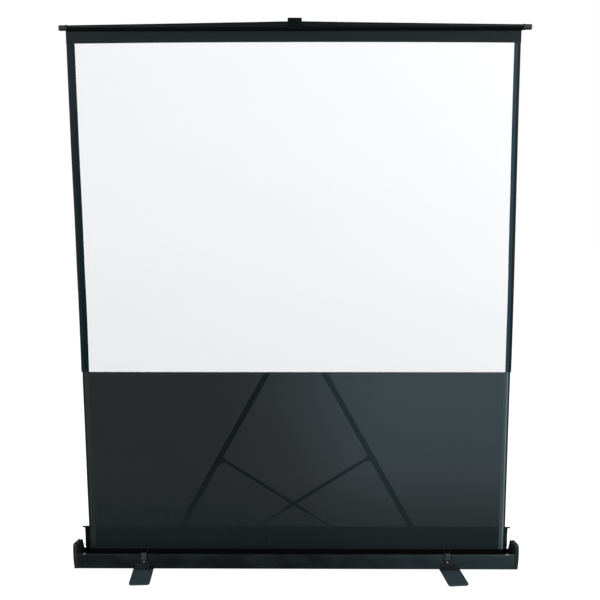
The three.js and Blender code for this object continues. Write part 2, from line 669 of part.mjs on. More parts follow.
function springGeometry(half) {
  const start = half - MANDREL_LENGTH + PLUG_DEPTH;
  const end = half - 2 * PLUG_DEPTH;
  class Helix extends THREE.Curve {
    getPoint(share, target = new THREE.Vector3()) {
      const turn = 2 * Math.PI * SPRING_TURNS * share;
      return target.set(start + share * (end - start), SPRING_RADIUS * Math.cos(turn), SPRING_RADIUS * Math.sin(turn));
    }
  }
  const section = new THREE.Shape();
  const sides = 5;
  section.setFromPoints(Array.from({ length: sides }, (_, i) => new THREE.Vector2(
    SPRING_WIRE * Math.cos((2 * Math.PI * i) / sides), SPRING_WIRE * Math.sin((2 * Math.PI * i) / sides))));
  return new THREE.ExtrudeGeometry(section, { steps: 8 * SPRING_TURNS, extrudePath: new Helix() });
}

function makeRollerBrackets() {
  for (const [name, side] of SIDES) {
    const start = ROLLER_LENGTH / 2 + ROLLER_BRACKET_GAP;
    const front = -CASE_FRONT + CASE_WALL + TOUCH;
    const back = CLOTH_THICK + TOUCH;
    const plate = block(...mirrored(side, start, start + BRACKET_SHEET),
      front, back, STAND_Z, ROLLER_Z + WOUND_RADIUS);
    const flange = block(...mirrored(side, start, CAP_INNER_X - TOUCH),
      front, back, STAND_Z, STAND_Z + BRACKET_SHEET);
    const bore = turnedX(rod(SPINDLE_RADIUS + RUNNING, start - OVERRUN, start + BRACKET_SHEET + OVERRUN), 16)
      .translate(0, ROLLER_Y, ROLLER_Z);
    if (side < 0) {
      bore.rotateZ(Math.PI).translate(0, 2 * ROLLER_Y, 0);
    }
    addPiece(`roller_bracket_${name}`, cut(join(plate, flange), bore), steelBlack());
  }
}

// Arms: flat bars with round ends and a hole in each, made along +x and turned into place
function armGeometry(length, width, front, firstHole, lastHole) {
  const radius = width / 2;
  const shape = new THREE.Shape();
  shape.absarc(length, 0, radius, -Math.PI / 2, Math.PI / 2, false);
  shape.absarc(0, 0, radius, Math.PI / 2, (3 * Math.PI) / 2, false);
  shape.closePath();
  shape.holes.push(circleHole(0, 0, firstHole));
  shape.holes.push(circleHole(length, 0, lastHole));
  return plateXZ(shape, front, front + ARM_THICK, 8);
}

function turnedPin(radius, heads, start, end) {
  const profile = [[0, start]];
  let at = start;
  for (const [from, to, size] of heads) {
    if (from > at) {
      profile.push([radius, at], [radius, from]);
    }
    profile.push([size, from], [size, to]);
    at = to;
  }
  if (end > at) {
    profile.push([radius, at], [radius, end]);
  }
  profile.push([0, end]);
  return turnedY(profile, 12);
}

function makeArms() {
  for (const [name, side] of SIDES) {
    const front = side < 0 ? LEFT_ARM_Y : RIGHT_ARM_Y;
    const lower = addPiece(`lower_arm_${name}`, armGeometry(LOWER_LENGTH, ARM_WIDTH, front,
      ARM_PIN_RADIUS + RUNNING, ELBOW_PIN_RADIUS + TOUCH), steelBlack());
    lower.position.set(side * ARM_BASE_HALF, 0, ARM_BASE_Z);
    lower.rotation.y = side < 0 ? -RISE : -(Math.PI - RISE);
    const upper = addPiece(`upper_arm_${name}`, armGeometry(UPPER_LENGTH, UPPER_WIDTH, UPPER_Y,
      ELBOW_PIN_RADIUS + RUNNING, HUB_PIN_RADIUS + RUNNING), steelBlack());
    upper.position.set(-side * ELBOW_X, 0, ELBOW_Z);
    upper.rotation.y = side < 0 ? -UPPER_ANGLE : -(Math.PI - UPPER_ANGLE);
    addPiece(`elbow_pin_${name}`, elbowPin(side), zinc()).position.set(-side * ELBOW_X, 0, ELBOW_Z);
    makeArmBracket(name, side);
    makeLug(name, side);
  }
}

function elbowPin(side) {
  const first = side < 0 ? LEFT_ARM_Y : UPPER_Y;
  const middle = first + ARM_THICK + TOUCH;
  const last = middle - TOUCH + ARM_GAP + ARM_THICK + TOUCH;
  const head = ELBOW_PIN_RADIUS + PIN_HEAD_MARGIN;
  const start = first - TOUCH - PIN_HEAD;
  return turnedPin(ELBOW_PIN_RADIUS, [
    [start, first - TOUCH, head],
    [middle, middle + ARM_GAP - 2 * TOUCH, head],
    [last, last + PIN_HEAD, head]], start, last + PIN_HEAD);
}

// Base bracket of an arm: a cheek on one side only, with a headed stud through the arm
function makeArmBracket(name, side) {
  const armFront = side < 0 ? LEFT_ARM_Y : RIGHT_ARM_Y;
  const inFront = side < 0;
  const cheekFront = inFront ? armFront - PIN_HEAD - SHEET : armFront + ARM_THICK + PIN_HEAD;
  const half = BRACKET_WIDTH / 2;
  const top = ARM_BASE_Z + ARM_WIDTH / 2;
  const cheek = plateXZ(roundedShape([
    [-half, STAND_Z], [half, STAND_Z], [half / 2, top, half / 3], [-half / 2, top, half / 3]]),
  cheekFront, cheekFront + SHEET, 4);
  const flangeFront = inFront ? cheekFront - BRACKET_FLANGE + SHEET : cheekFront;
  const flange = block(-half, half, flangeFront, flangeFront + BRACKET_FLANGE, STAND_Z, STAND_Z + SHEET);
  const head = ARM_PIN_RADIUS + PIN_HEAD_MARGIN;
  const far = armFront + ARM_THICK + TOUCH;
  const stud = inFront
    ? turnedPin(ARM_PIN_RADIUS, [[far, far + PIN_HEAD, head]], cheekFront + SHEET / 2, far + PIN_HEAD)
    : turnedPin(ARM_PIN_RADIUS, [[armFront - TOUCH - PIN_HEAD, armFront - TOUCH, head]],
      armFront - TOUCH - PIN_HEAD, cheekFront + SHEET / 2);
  stud.translate(0, 0, ARM_BASE_Z);
  addPiece(`arm_bracket_${name}`, join(cheek, flange, stud), steelBlack()).position.x = side * ARM_BASE_HALF;
}

// Lug on a lower arm: a plate on the arm's back with the strut's pin
function makeLug(name, side) {
  const armFront = side < 0 ? LEFT_ARM_Y : RIGHT_ARM_Y;
  const strutY = side < 0 ? LEFT_STRUT_Y : RIGHT_STRUT_Y;
  const down = side < 0 ? -1 : 1;
  const plateFront = armFront + ARM_THICK + TOUCH;
  const thick = strutY - EYE_WIDTH / 2 - 2 * TOUCH - plateFront;
  const half = ARM_WIDTH;
  const tip = LUG_PIN_RADIUS + PIN_HEAD_MARGIN;
  const far = down * (LUG_OFFSET + tip);
  const near = -down * ARM_WIDTH / 2.5;
  const points = [[-half, near], [half, near], [tip, far, tip / 2], [-tip, far, tip / 2]];
  const plate = plateXZ(roundedShape(down < 0 ? points.reverse() : points), plateFront, plateFront + thick, 4);
  const pinEnd = strutY + EYE_WIDTH / 2 + PIN_HEAD;
  const pin = turnedPin(LUG_PIN_RADIUS, [], plateFront + thick / 2, pinEnd).translate(0, 0, down * LUG_OFFSET);
  const lug = addPiece(`strut_lug_${name}`, join(plate, pin), steelBlack());
  const angle = side < 0 ? RISE : Math.PI - RISE;
  lug.position.set(side * ARM_BASE_HALF + LUG_ALONG * Math.cos(angle), 0,
    ARM_BASE_Z + LUG_ALONG * Math.sin(angle));
  lug.rotation.y = -angle;
}

// Gas struts: the rod hangs on the case, the cylinder on the arm's lug
function eyeShape(hole) {
  const shape = new THREE.Shape();
  shape.absarc(0, 0, EYE_RADIUS, 0, 2 * Math.PI, false);
  shape.holes.push(circleHole(0, 0, hole));
  return plateXZ(shape, -EYE_WIDTH / 2, EYE_WIDTH / 2, 6);
}

function makeStruts() {
  for (const [name, side] of SIDES) {
    const y = side < 0 ? LEFT_STRUT_Y : RIGHT_STRUT_Y;
    const angle = side < 0 ? STRUT_ANGLE : Math.PI - STRUT_ANGLE;
    const neck = EYE_RADIUS - TOUCH;
    const rodBar = turnedX(rod(ROD_RADIUS, neck, ROD_LENGTH), 10);
    const lower = addPiece(`gas_rod_${name}`, join(eyeShape(STRUT_PIN_RADIUS + RUNNING), rodBar), zinc());
    lower.position.set(-side * STRUT_BASE_HALF, y, STRUT_BASE_Z);
    lower.rotation.y = -angle;
    const end = EYE_NECK + CYLINDER_LENGTH;
    const tube = turnedX([
      [0, neck], [ROD_RADIUS, neck], [ROD_RADIUS, EYE_NECK], [CYLINDER_RADIUS, EYE_NECK + ROD_RADIUS],
      [CYLINDER_RADIUS, end - ROD_RADIUS / 2], [CYLINDER_RADIUS - ROD_RADIUS / 2, end], [BORE_RADIUS, end],
      [BORE_RADIUS, BORE_FLOOR], [0, BORE_FLOOR]], 12);
    const upper = addPiece(`gas_cylinder_${name}`,
      join(eyeShape(LUG_PIN_RADIUS + 2 * RUNNING), tube), steelBlack());
    upper.position.set(side * -LUG_X, y, LUG_Z);
    upper.rotation.y = -(angle + Math.PI);
    makeStrutBracket(name, side, y);
  }
}

function makeStrutBracket(name, side, y) {
  const half = STRUT_BRACKET_WIDTH / 2;
  const inner = EYE_WIDTH / 2 + 2 * TOUCH;
  const outer = inner + HUB_SHEET;
  const top = STRUT_BASE_Z + EYE_RADIUS;
  const base = block(-half, half, -outer, outer, STAND_Z, STAND_Z + HUB_SHEET);
  const cheeks = [[-outer, -inner], [inner, outer]].map(([front, back]) => plateXZ(roundedShape([
    [-half, STAND_Z], [half, STAND_Z], [half, STRUT_BASE_Z], [half / 2, top, HUB_SHEET],
    [-half / 2, top, HUB_SHEET], [-half, STRUT_BASE_Z]]), front, back, 3));
  const pin = turnedPin(STRUT_PIN_RADIUS, [], -inner - HUB_SHEET / 2, inner + HUB_SHEET / 2)
    .translate(0, 0, STRUT_BASE_Z);
  addPiece(`strut_bracket_${name}`, join(base, ...cheeks, pin), steelBlack())
    .position.set(-side * STRUT_BASE_HALF, y, 0);
}

// Top bar: a hollow bar, thickest in the middle, lofted through rounded sections
function barHeight(x) {
  const share = Math.min(1, Math.abs(x) / (BAR_LENGTH / 2));
  return BAR_MID_HEIGHT - (BAR_MID_HEIGHT - BAR_END_HEIGHT) * share ** BAR_CROWN_POWER;
}

function barSection(x, inset, round) {
  const half = BAR_DEPTH / 2 - inset;
  const low = BAR_BOTTOM + inset;
  const high = BAR_BOTTOM + barHeight(x) - inset;
  const shape = roundedShape([[-half, low, round / 3], [half, low, round / 3],
    [half, high, round], [-half, high, round]]);
  return shape.extractPoints(3).shape.slice(0, -1).map((p) => new THREE.Vector3(x, p.x, p.y));
}

function makeTopBar() {
  const half = BAR_LENGTH / 2;
  const rings = [];
  for (let i = -BAR_STEPS; i <= BAR_STEPS; i++) {
    const x = (half * i) / BAR_STEPS;
    rings.push([barSection(x, 0, BAR_ROUND), barSection(x, BAR_WALL, BAR_ROUND - BAR_WALL)]);
  }
  const positions = [];
  const quad = (a, b, c, d) => [a, b, c, a, c, d].forEach((p) => positions.push(p.x, p.y, p.z));
  const size = rings[0][0].length;
  const next = (j) => (j + 1) % size;
  for (let i = 0; i + 1 < rings.length; i++) {
    for (let j = 0; j < size; j++) {
      const [outA, inA] = rings[i];
      const [outB, inB] = rings[i + 1];
      quad(outA[j], outA[next(j)], outB[next(j)], outB[j]);
      quad(inA[j], inB[j], inB[next(j)], inA[next(j)]);
    }
  }
  const [firstOut, firstIn] = rings[0];
  const [lastOut, lastIn] = rings[rings.length - 1];
  for (let j = 0; j < size; j++) {
    quad(firstOut[j], firstIn[j], firstIn[next(j)], firstOut[next(j)]);
    quad(lastOut[j], lastOut[next(j)], lastIn[next(j)], lastIn[j]);
  }
  const shell = new THREE.BufferGeometry();
  shell.setAttribute("position", new THREE.Float32BufferAttribute(positions, 3));
  const merged = mergeVertices(shell, 1e-3);
  merged.computeVertexNormals();
  addPiece("top_bar", merged, caseBlack());
  makeBarEnds(half);
}

// Plugs with a ring and a round pin at both ends of the bar
function makeBarEnds(half) {
  for (const [name, side] of SIDES) {
    const start = half + TOUCH;
    const axisZ = BAR_BOTTOM + BAR_END_HEIGHT / 2;
    const ringEnd = start + RING_THICK;
    const pinEnd = ringEnd + PIN_LENGTH;
    const ring = PIN_RADIUS + RING_MARGIN;
    const turnedEnd = turnedX([
      [0, start], [ring, start], [ring, ringEnd], [PIN_RADIUS, ringEnd + RING_MARGIN],
      [PIN_RADIUS, pinEnd - PIN_CHAMFER], [PIN_RADIUS - PIN_CHAMFER, pinEnd], [0, pinEnd]], 20)
      .translate(0, 0, axisZ);
    const inset = BAR_WALL + TOUCH;
    const spigotHalf = BAR_DEPTH / 2 - inset;
    const spigot = barYZ(roundedShape([
      [-spigotHalf, BAR_BOTTOM + inset, inset], [spigotHalf, BAR_BOTTOM + inset, inset],
      [spigotHalf, BAR_BOTTOM + BAR_END_HEIGHT - inset, BAR_ROUND - TOUCH],
      [-spigotHalf, BAR_BOTTOM + BAR_END_HEIGHT - inset, BAR_ROUND - TOUCH]]), half - PIN_LENGTH, start + TOUCH, 3);
    const collar = barYZ(roundedShape([
      [-BAR_DEPTH / 2, BAR_BOTTOM, inset], [BAR_DEPTH / 2, BAR_BOTTOM, inset],
      [BAR_DEPTH / 2, BAR_BOTTOM + BAR_END_HEIGHT, BAR_ROUND],
      [-BAR_DEPTH / 2, BAR_BOTTOM + BAR_END_HEIGHT, BAR_ROUND]]), start, start + RING_THICK / 2, 3);
    const plug = join(turnedEnd, spigot, collar);
    if (side < 0) {
      plug.rotateZ(Math.PI);
    }
    addPiece(`bar_end_${name}`, plug, plasticBlack());
  }
}

// Hub: a clevis behind the bar that holds both upper arms on its two pins
function makeHub() {
  const front = BAR_DEPTH / 2 + TOUCH + GRIP_REAR + TOUCH;
  const back = UPPER_Y + ARM_THICK + PIN_HEAD;
  const half = HUB_WIDTH / 2;
  const low = HUB_Z - UPPER_WIDTH / 2 + PIN_HEAD;
  const high = low + HUB_HEIGHT;
  const plate = (from) => plateXZ(roundedShape([
    [-half, low, HUB_SHEET], [half, low, HUB_SHEET], [half, high, HUB_SHEET], [-half, high, HUB_SHEET]]),
  from, from + HUB_SHEET, 3);
  const web = block(-half + HUB_SHEET, half - HUB_SHEET, front + HUB_SHEET / 2, back + HUB_SHEET / 2,
    HUB_Z + UPPER_WIDTH / 2 + HUB_SHEET, high - HUB_SHEET);
  const pin = turnedPin(HUB_PIN_RADIUS, [], front + HUB_SHEET / 2, back + HUB_SHEET / 2)
    .translate(HUB_PIN_HALF, 0, HUB_Z);
  const head = HUB_PIN_RADIUS + PIN_HEAD_MARGIN / 2;
  const heads = SIDES.map(([, side]) => turnedPin(head, [], back + HUB_SHEET / 2, back + HUB_SHEET + PIN_HEAD)
    .translate(side * HUB_PIN_HALF, 0, HUB_Z));
  addPiece("top_hub", join(plate(front), plate(back), web, pin, ...heads), steelBlack());
}

// Grip: a saddle over the middle of the bar
function makeGrip() {
  const inner = BAR_DEPTH / 2 + TOUCH;
  const top = BAR_BOTTOM + BAR_MID_HEIGHT;
  const low = BAR_BOTTOM + GRIP_RISE / 3;
  const outline = roundedShape([
    [-inner - GRIP_WALL, low, TOUCH], [-inner, low], [-inner, top + TOUCH],
    [inner, top + TOUCH], [inner, low], [inner + GRIP_REAR, low, TOUCH],
    [inner + GRIP_REAR, top + GRIP_RISE, GRIP_ROUND / 2], [-inner - GRIP_WALL, top + GRIP_RISE, GRIP_ROUND]]);
  addPiece("pull_grip", barYZ(outline, -GRIP_WIDTH / 2, GRIP_WIDTH / 2, 4), plasticBlack());
}

// Cloth: the white picture sheet with its borders, and the black drop down to the roller
function makeCloth() {
  const half = CLOTH_THICK / 2;
  addPiece("picture_sheet",
    block(-CLOTH_HALF, CLOTH_HALF, -half, half, DROP_HEIGHT + TOUCH, BAR_BOTTOM - TOUCH), whiteCloth());
  addPiece("drop_sheet",
    block(-CLOTH_HALF, CLOTH_HALF, -half, half, ROLLER_Z, DROP_HEIGHT), blackCloth());
}

const lid = new THREE.Group();
screen.add(lid);
makeTrough();
makeEndCaps();
makeHingeRail();
makeLid(lid);
makeLatches();
makeFootMounts();
makeFeet();
makeRoller();
makeRollerBrackets();
makeArms();
makeStruts();
makeTopBar();
makeHub();
makeGrip();
makeCloth();

export default screen;
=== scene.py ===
import json
import math

import bmesh
import bpy
import numpy as np
from bpy.props import FloatProperty, PointerProperty
from mathutils import Matrix, Vector


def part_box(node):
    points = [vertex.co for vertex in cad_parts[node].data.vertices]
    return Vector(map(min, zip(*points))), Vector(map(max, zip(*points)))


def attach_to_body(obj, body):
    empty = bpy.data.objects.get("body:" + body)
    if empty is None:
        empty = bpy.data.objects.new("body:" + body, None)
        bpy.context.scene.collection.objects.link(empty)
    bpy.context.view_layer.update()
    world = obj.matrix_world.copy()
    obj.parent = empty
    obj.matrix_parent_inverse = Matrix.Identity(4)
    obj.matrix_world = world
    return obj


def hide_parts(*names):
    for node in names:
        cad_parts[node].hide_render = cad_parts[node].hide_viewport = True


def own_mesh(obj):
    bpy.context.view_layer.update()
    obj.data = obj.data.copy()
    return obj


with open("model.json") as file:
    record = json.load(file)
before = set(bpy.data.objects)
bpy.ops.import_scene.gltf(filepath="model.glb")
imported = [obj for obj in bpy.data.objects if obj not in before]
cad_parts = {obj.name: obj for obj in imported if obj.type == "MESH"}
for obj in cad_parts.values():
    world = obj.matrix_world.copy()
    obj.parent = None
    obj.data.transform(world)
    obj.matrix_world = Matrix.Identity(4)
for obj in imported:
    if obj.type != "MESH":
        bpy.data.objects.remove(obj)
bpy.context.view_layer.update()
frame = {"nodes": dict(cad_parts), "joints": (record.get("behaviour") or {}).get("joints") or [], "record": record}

bl_info = {
    "name": "Floor projector screen",
    "version": (1, 0, 0),
    "blender": (4, 5, 0),
    "location": "View3D > Sidebar > Projector screen",
    "description": "Dresses the frame of a pull-up floor projector screen",
    "category": "Object",
}

MM = 0.001
RECORD = frame["record"]
SLOT_OF = {part["node"]: part["material_slot"] for part in RECORD["subparts"]}
BODY_OF = {node: body for body, nodes in RECORD["behaviour"]["bodies"].items() for node in nodes}
SIDES = (("left", -1), ("right", 1))


def linear(code):
    """Linear RGBA of an sRGB hex colour."""
    parts = [int(code[i:i + 2], 16) / 255 for i in (0, 2, 4)]
    return [c / 12.92 if c <= 0.04045 else ((c + 0.055) / 1.055) ** 2.4 for c in parts] + [1.0]


def add_node(tree, kind, settings=None, links=None):
    """Add a shader node, set its properties and sockets, and link its inputs."""
    made = tree.nodes.new(kind)
    for key, value in (settings or {}).items():
        if isinstance(key, int) or key in made.inputs:
            made.inputs[key].default_value = value
        else:
            setattr(made, key, value)
    for key, source in (links or {}).items():
        tree.links.new(source, made.inputs[key])
    return made


# Materials

# Sockets of the colour mix node, which share their names with those for numbers and vectors
MIX_AMOUNT, MIX_A, MIX_B, MIX_COLOUR = 0, 6, 7, 2


def start_material(name, code, roughness, metallic=0.0, shine=0.5, **sockets):
    """A material with its shader, and the object coordinates that its patterns use."""
    material = bpy.data.materials.new(name)
    material.use_nodes = True
    tree = material.node_tree
    shader = tree.nodes["Principled BSDF"]
    shader.inputs["Base Color"].default_value = linear(code)
    shader.inputs["Roughness"].default_value = roughness
    shader.inputs["Metallic"].default_value = metallic
    shader.inputs["Specular IOR Level"].default_value = shine
    for socket, value in sockets.items():
        shader.inputs[socket.replace("_", " ")].default_value = value
    place = add_node(tree, "ShaderNodeTexCoord").outputs["Object"]
    return material, tree, shader, place


def stretched(tree, place, sizes):
    """Coordinates counted in pattern sizes: one size in millimetres, or those along x, y and z."""
    along = sizes if isinstance(sizes, tuple) else (sizes, sizes, sizes)
    counts = [1 / (size * MM) for size in along]
    return add_node(tree, "ShaderNodeMapping", {"Scale": counts}, {"Vector": place}).outputs["Vector"]


def noise(tree, place, sizes, detail):
    """Noise whose features are about so many millimetres long."""
    where = stretched(tree, place, sizes)
    settings = {"Scale": 1.0, "Detail": detail, "Roughness": 0.55}
    return add_node(tree, "ShaderNodeTexNoise", settings, {"Vector": where}).outputs["Fac"]


def vary_colour(tree, shader, amount, low, high):
    """Base colour between two colours by a pattern. The low one may be a socket, the others are hex."""
    settings, links = {"data_type": "RGBA", MIX_B: linear(high)}, {MIX_AMOUNT: amount}
    if isinstance(low, str):
        settings[MIX_A] = linear(low)
    else:
        links[MIX_A] = low
    colour = add_node(tree, "ShaderNodeMix", settings, links).outputs[MIX_COLOUR]
    tree.links.new(colour, shader.inputs["Base Color"])
    return colour


def spread(tree, amount, low, high):
    """Noise, which keeps to the middle of its range, drawn out to the range from low to high."""
    settings = {"From Min": 0.3, "From Max": 0.7, "To Min": low, "To Max": high}
    return add_node(tree, "ShaderNodeMapRange", settings, {"Value": amount}).outputs["Result"]


def vary_roughness(tree, shader, amount, low, high):
    tree.links.new(spread(tree, amount, low, high), shader.inputs["Roughness"])


def raise_surface(tree, shader, height, depth_mm, strength):
    """Bump of the given depth from a pattern between 0 and 1."""
    settings = {"Strength": strength, "Distance": depth_mm * MM}
    bump = add_node(tree, "ShaderNodeBump", settings, {"Height": height})
    tree.links.new(bump.outputs["Normal"], shader.inputs["Normal"])


def gradual(tree, place, axis, start, end, low, high):
    """A value that passes smoothly from low to high between two places along an axis, in metres."""
    along = add_node(tree, "ShaderNodeSeparateXYZ", None, {"Vector": place}).outputs[axis]
    settings = {"interpolation_type": "SMOOTHSTEP",
                "From Min": start, "From Max": end, "To Min": low, "To Max": high}
    return add_node(tree, "ShaderNodeMapRange", settings, {"Value": along}).outputs["Result"]


def total(tree, *amounts):
    """Sum of several values."""
    whole = amounts[0]
    for amount in amounts[1:]:
        whole = add_node(tree, "ShaderNodeMath", {"operation": "ADD"}, {0: whole, 1: amount}).outputs[0]
    return whole


def anodised_aluminium(name, code, low, high, shine, painted_light_shift=(0, 0)):
    # Extruded aluminium, black anodised: a satin sheen drawn out along the length by die lines,
    # its tone shifted by the two given amounts at the middle and at the right end: painted light,
    # darker on the left and lighter at the right end, as if lit more by the lamp on the right
    material, tree, shader, place = start_material(name, code, 0.4, 0.3, shine)
    lines = noise(tree, place, (260, 1.6, 1.6), 4)
    clouds = noise(tree, place, (90, 30, 30), 2)
    # Painted light: the tone is shifted darker on the left half and lighter toward the right end
    tone = total(tree, clouds, gradual(tree, place, "X", 0.0, 0.88, *painted_light_shift))
    vary_colour(tree, shader, tone, low, high)
    vary_roughness(tree, shader, lines, 0.32, 0.46)
    raise_surface(tree, shader, lines, 0.02, 0.5)
    return material


def moulded_nylon():
    # Injection-moulded glass-filled nylon: black, with a fine spark-eroded grain
    material, tree, shader, place = start_material(
        "moulded_nylon_black", "161d1e", 0.5, shine=0.35, IOR=1.53)
    grain = noise(tree, place, 1.1, 2)
    clouds = noise(tree, place, 24, 3)
    vary_colour(tree, shader, clouds, "131a1b", "1b2324")
    vary_roughness(tree, shader, clouds, 0.44, 0.58)
    raise_surface(tree, shader, grain, 0.05, 0.6)
    return material


def powder_coated_steel(name, code, low, high, roughness):
    # Powder-coated steel: even colour with a slight orange peel that breaks up the shine
    material, tree, shader, place = start_material(name, code, roughness)
    peel = noise(tree, place, 2.2, 2)
    clouds = noise(tree, place, 40, 3)
    vary_colour(tree, shader, clouds, low, high)
    vary_roughness(tree, shader, clouds, roughness - 0.06, roughness + 0.08)
    raise_surface(tree, shader, peel, 0.06, 0.5)
    return material


def zinc_plated_steel():
    # Bright zinc plating on turned or pressed steel: silver with soft grey blooms
    material, tree, shader, place = start_material("zinc_plated_steel", "b9bcba", 0.3, 1.0)
    blooms = noise(tree, place, 5, 4)
    vary_colour(tree, shader, blooms, "a4a8a6", "cacccb")
    vary_roughness(tree, shader, blooms, 0.24, 0.4)
    return material


def chromed_rod():
    # Ground and hard-chromed piston rod: mirror bright with faint rings from the grinding wheel
    material, tree, shader, place = start_material("hard_chromed_steel", "c4c6c7", 0.12, 1.0)
    rings = noise(tree, place, 0.9, 3)
    vary_roughness(tree, shader, rings, 0.08, 0.18)
    return material


def drawn_aluminium():
    # Drawn aluminium tube, left plain: soft lengthwise streaks
    material, tree, shader, place = start_material("drawn_aluminium_plain", "a9adae", 0.38, 1.0)
    lines = noise(tree, place, (180, 1.2, 1.2), 3)
    vary_roughness(tree, shader, lines, 0.3, 0.46)
    raise_surface(tree, shader, lines, 0.02, 0.4)
    return material


def moulded_rubber():
    # Moulded black rubber: matt, with dust-grey variation
    material, tree, shader, place = start_material("moulded_rubber_black", "1a1c1c", 0.85)
    dust = noise(tree, place, 12, 4)
    vary_colour(tree, shader, dust, "161818", "262929")
    raise_surface(tree, shader, dust, 0.1, 0.5)
    return material


def woven_threads(tree, place, pitch_mm):
    """A plain weave in the x and z directions: bright on threads, dark between them."""
    where = stretched(tree, place, pitch_mm)
    axes = add_node(tree, "ShaderNodeSeparateXYZ", None, {"Vector": where})
    steps = {"operation": "MULTIPLY", 1: math.pi}, {"operation": "SINE"}, {"operation": "ABSOLUTE"}
    ridges = []
    for axis in ("X", "Z"):
        ridge = axes.outputs[axis]
        for step in steps:
            ridge = add_node(tree, "ShaderNodeMath", step, {0: ridge}).outputs[0]
        ridges.append(ridge)
    links = {0: ridges[0], 1: ridges[1]}
    return add_node(tree, "ShaderNodeMath", {"operation": "MAXIMUM"}, links).outputs[0]


def projection_vinyl():
    # Matt white projection vinyl: a fine even grain that scatters the light, no gloss
    material, tree, shader, place = start_material("projection_vinyl_white", "f4f5f6", 0.9, shine=0.2)
    grain = noise(tree, place, 1.2, 2)
    raise_surface(tree, shader, grain, 0.03, 0.3)
    return material


def masking_vinyl():
    # Black vinyl, used for the printed borders and as the light-tight back: satin, softly mottled
    material, tree, shader, place = start_material("masking_vinyl_black", "0f191a", 0.55, shine=0.15)
    mottle = noise(tree, place, 60, 4)
    grain = noise(tree, place, 1.4, 2)
    vary_colour(tree, shader, mottle, "0d1718", "131f21")
    vary_roughness(tree, shader, mottle, 0.52, 0.64)
    raise_surface(tree, shader, grain, 0.04, 0.4)
    return material


def plain_black(name, code, low, high):
    # Matt black sheet or strip without a printed face: soft, almost no reflection. For the leader and
    # the bar's insert, its near-black colour is painted shade
    material, tree, shader, place = start_material(name, code, 0.75, shine=0.05)
    clouds = noise(tree, place, (45, 45, 12), 3)
    vary_colour(tree, shader, clouds, low, high)
    vary_roughness(tree, shader, clouds, 0.68, 0.82)
    return material


def open_scrim():
    # Black polyester scrim: an open plain weave, more open toward the right. Its colour is lighter toward
    # the right, a painted sheen from the lamp on that side, and lower down that rise is taken back and the
    # colour drawn toward one dark tone, painted shade.
    # Its 0.8 mm threads are too fine for the render, so the mesh is drawn as 3 mm ribs, its uneven
    # threads as 5 mm flecks, and the holes between threads as an even thinning of the cloth
    material, tree, shader, place = start_material(
        "polyester_scrim_black", "0e1415", 0.55, shine=0.15, Sheen_Weight=0.04, Sheen_Roughness=0.4)
    # Painted sheen: the colour rises toward the right, and lower down this rise is taken back as painted shade
    painted_sheen_right = gradual(tree, place, "X", -0.25, 0.45, 0, 1)
    painted_shade_low = gradual(tree, place, "Z", 0.15, 0.75, -0.42, 0)
    upper = vary_colour(tree, shader, total(tree, painted_sheen_right, painted_shade_low), "071315", "22373e")
    # Painted shade: toward the foot the colour goes most of the way to one dark tone
    vary_colour(tree, shader, gradual(tree, place, "Z", 0.12, 0.5, 0.7, 0), upper, "1b2323")
    raise_surface(tree, shader, woven_threads(tree, place, 3.0), 0.1, 0.35)
    cover = gradual(tree, place, "X", -0.4, 0.3, 0.898, 0.863)
    # Painted shade: the cloth is made denser toward the foot, which darkens it there
    foot_painted_shade = gradual(tree, place, "Z", 0.12, 0.42, 0.045, 0)
    uneven = spread(tree, noise(tree, place, 5, 2), -0.006, 0.006)
    tree.links.new(total(tree, cover, foot_painted_shade, uneven), shader.inputs["Alpha"])
    return material


def edge_strip_painted_light(name, left, right, shine):
    # Strip along the side edges of the cloth: dense and smooth like a heat-sealed hem. Its lighter colour,
    # rising toward the right, is painted light on the curled edge from the lamp on that side
    material, tree, shader, place = start_material(name, left, 0.35, shine=shine)
    # Painted light: lighter toward the right, where the lamp falls
    vary_colour(tree, shader, gradual(tree, place, "X", 0.0, 0.9, 0, 1), left, right)
    melt = noise(tree, place, (6, 6, 30), 3)
    vary_roughness(tree, shader, melt, 0.3, 0.42)
    raise_surface(tree, shader, melt, 0.08, 0.4)
    return material


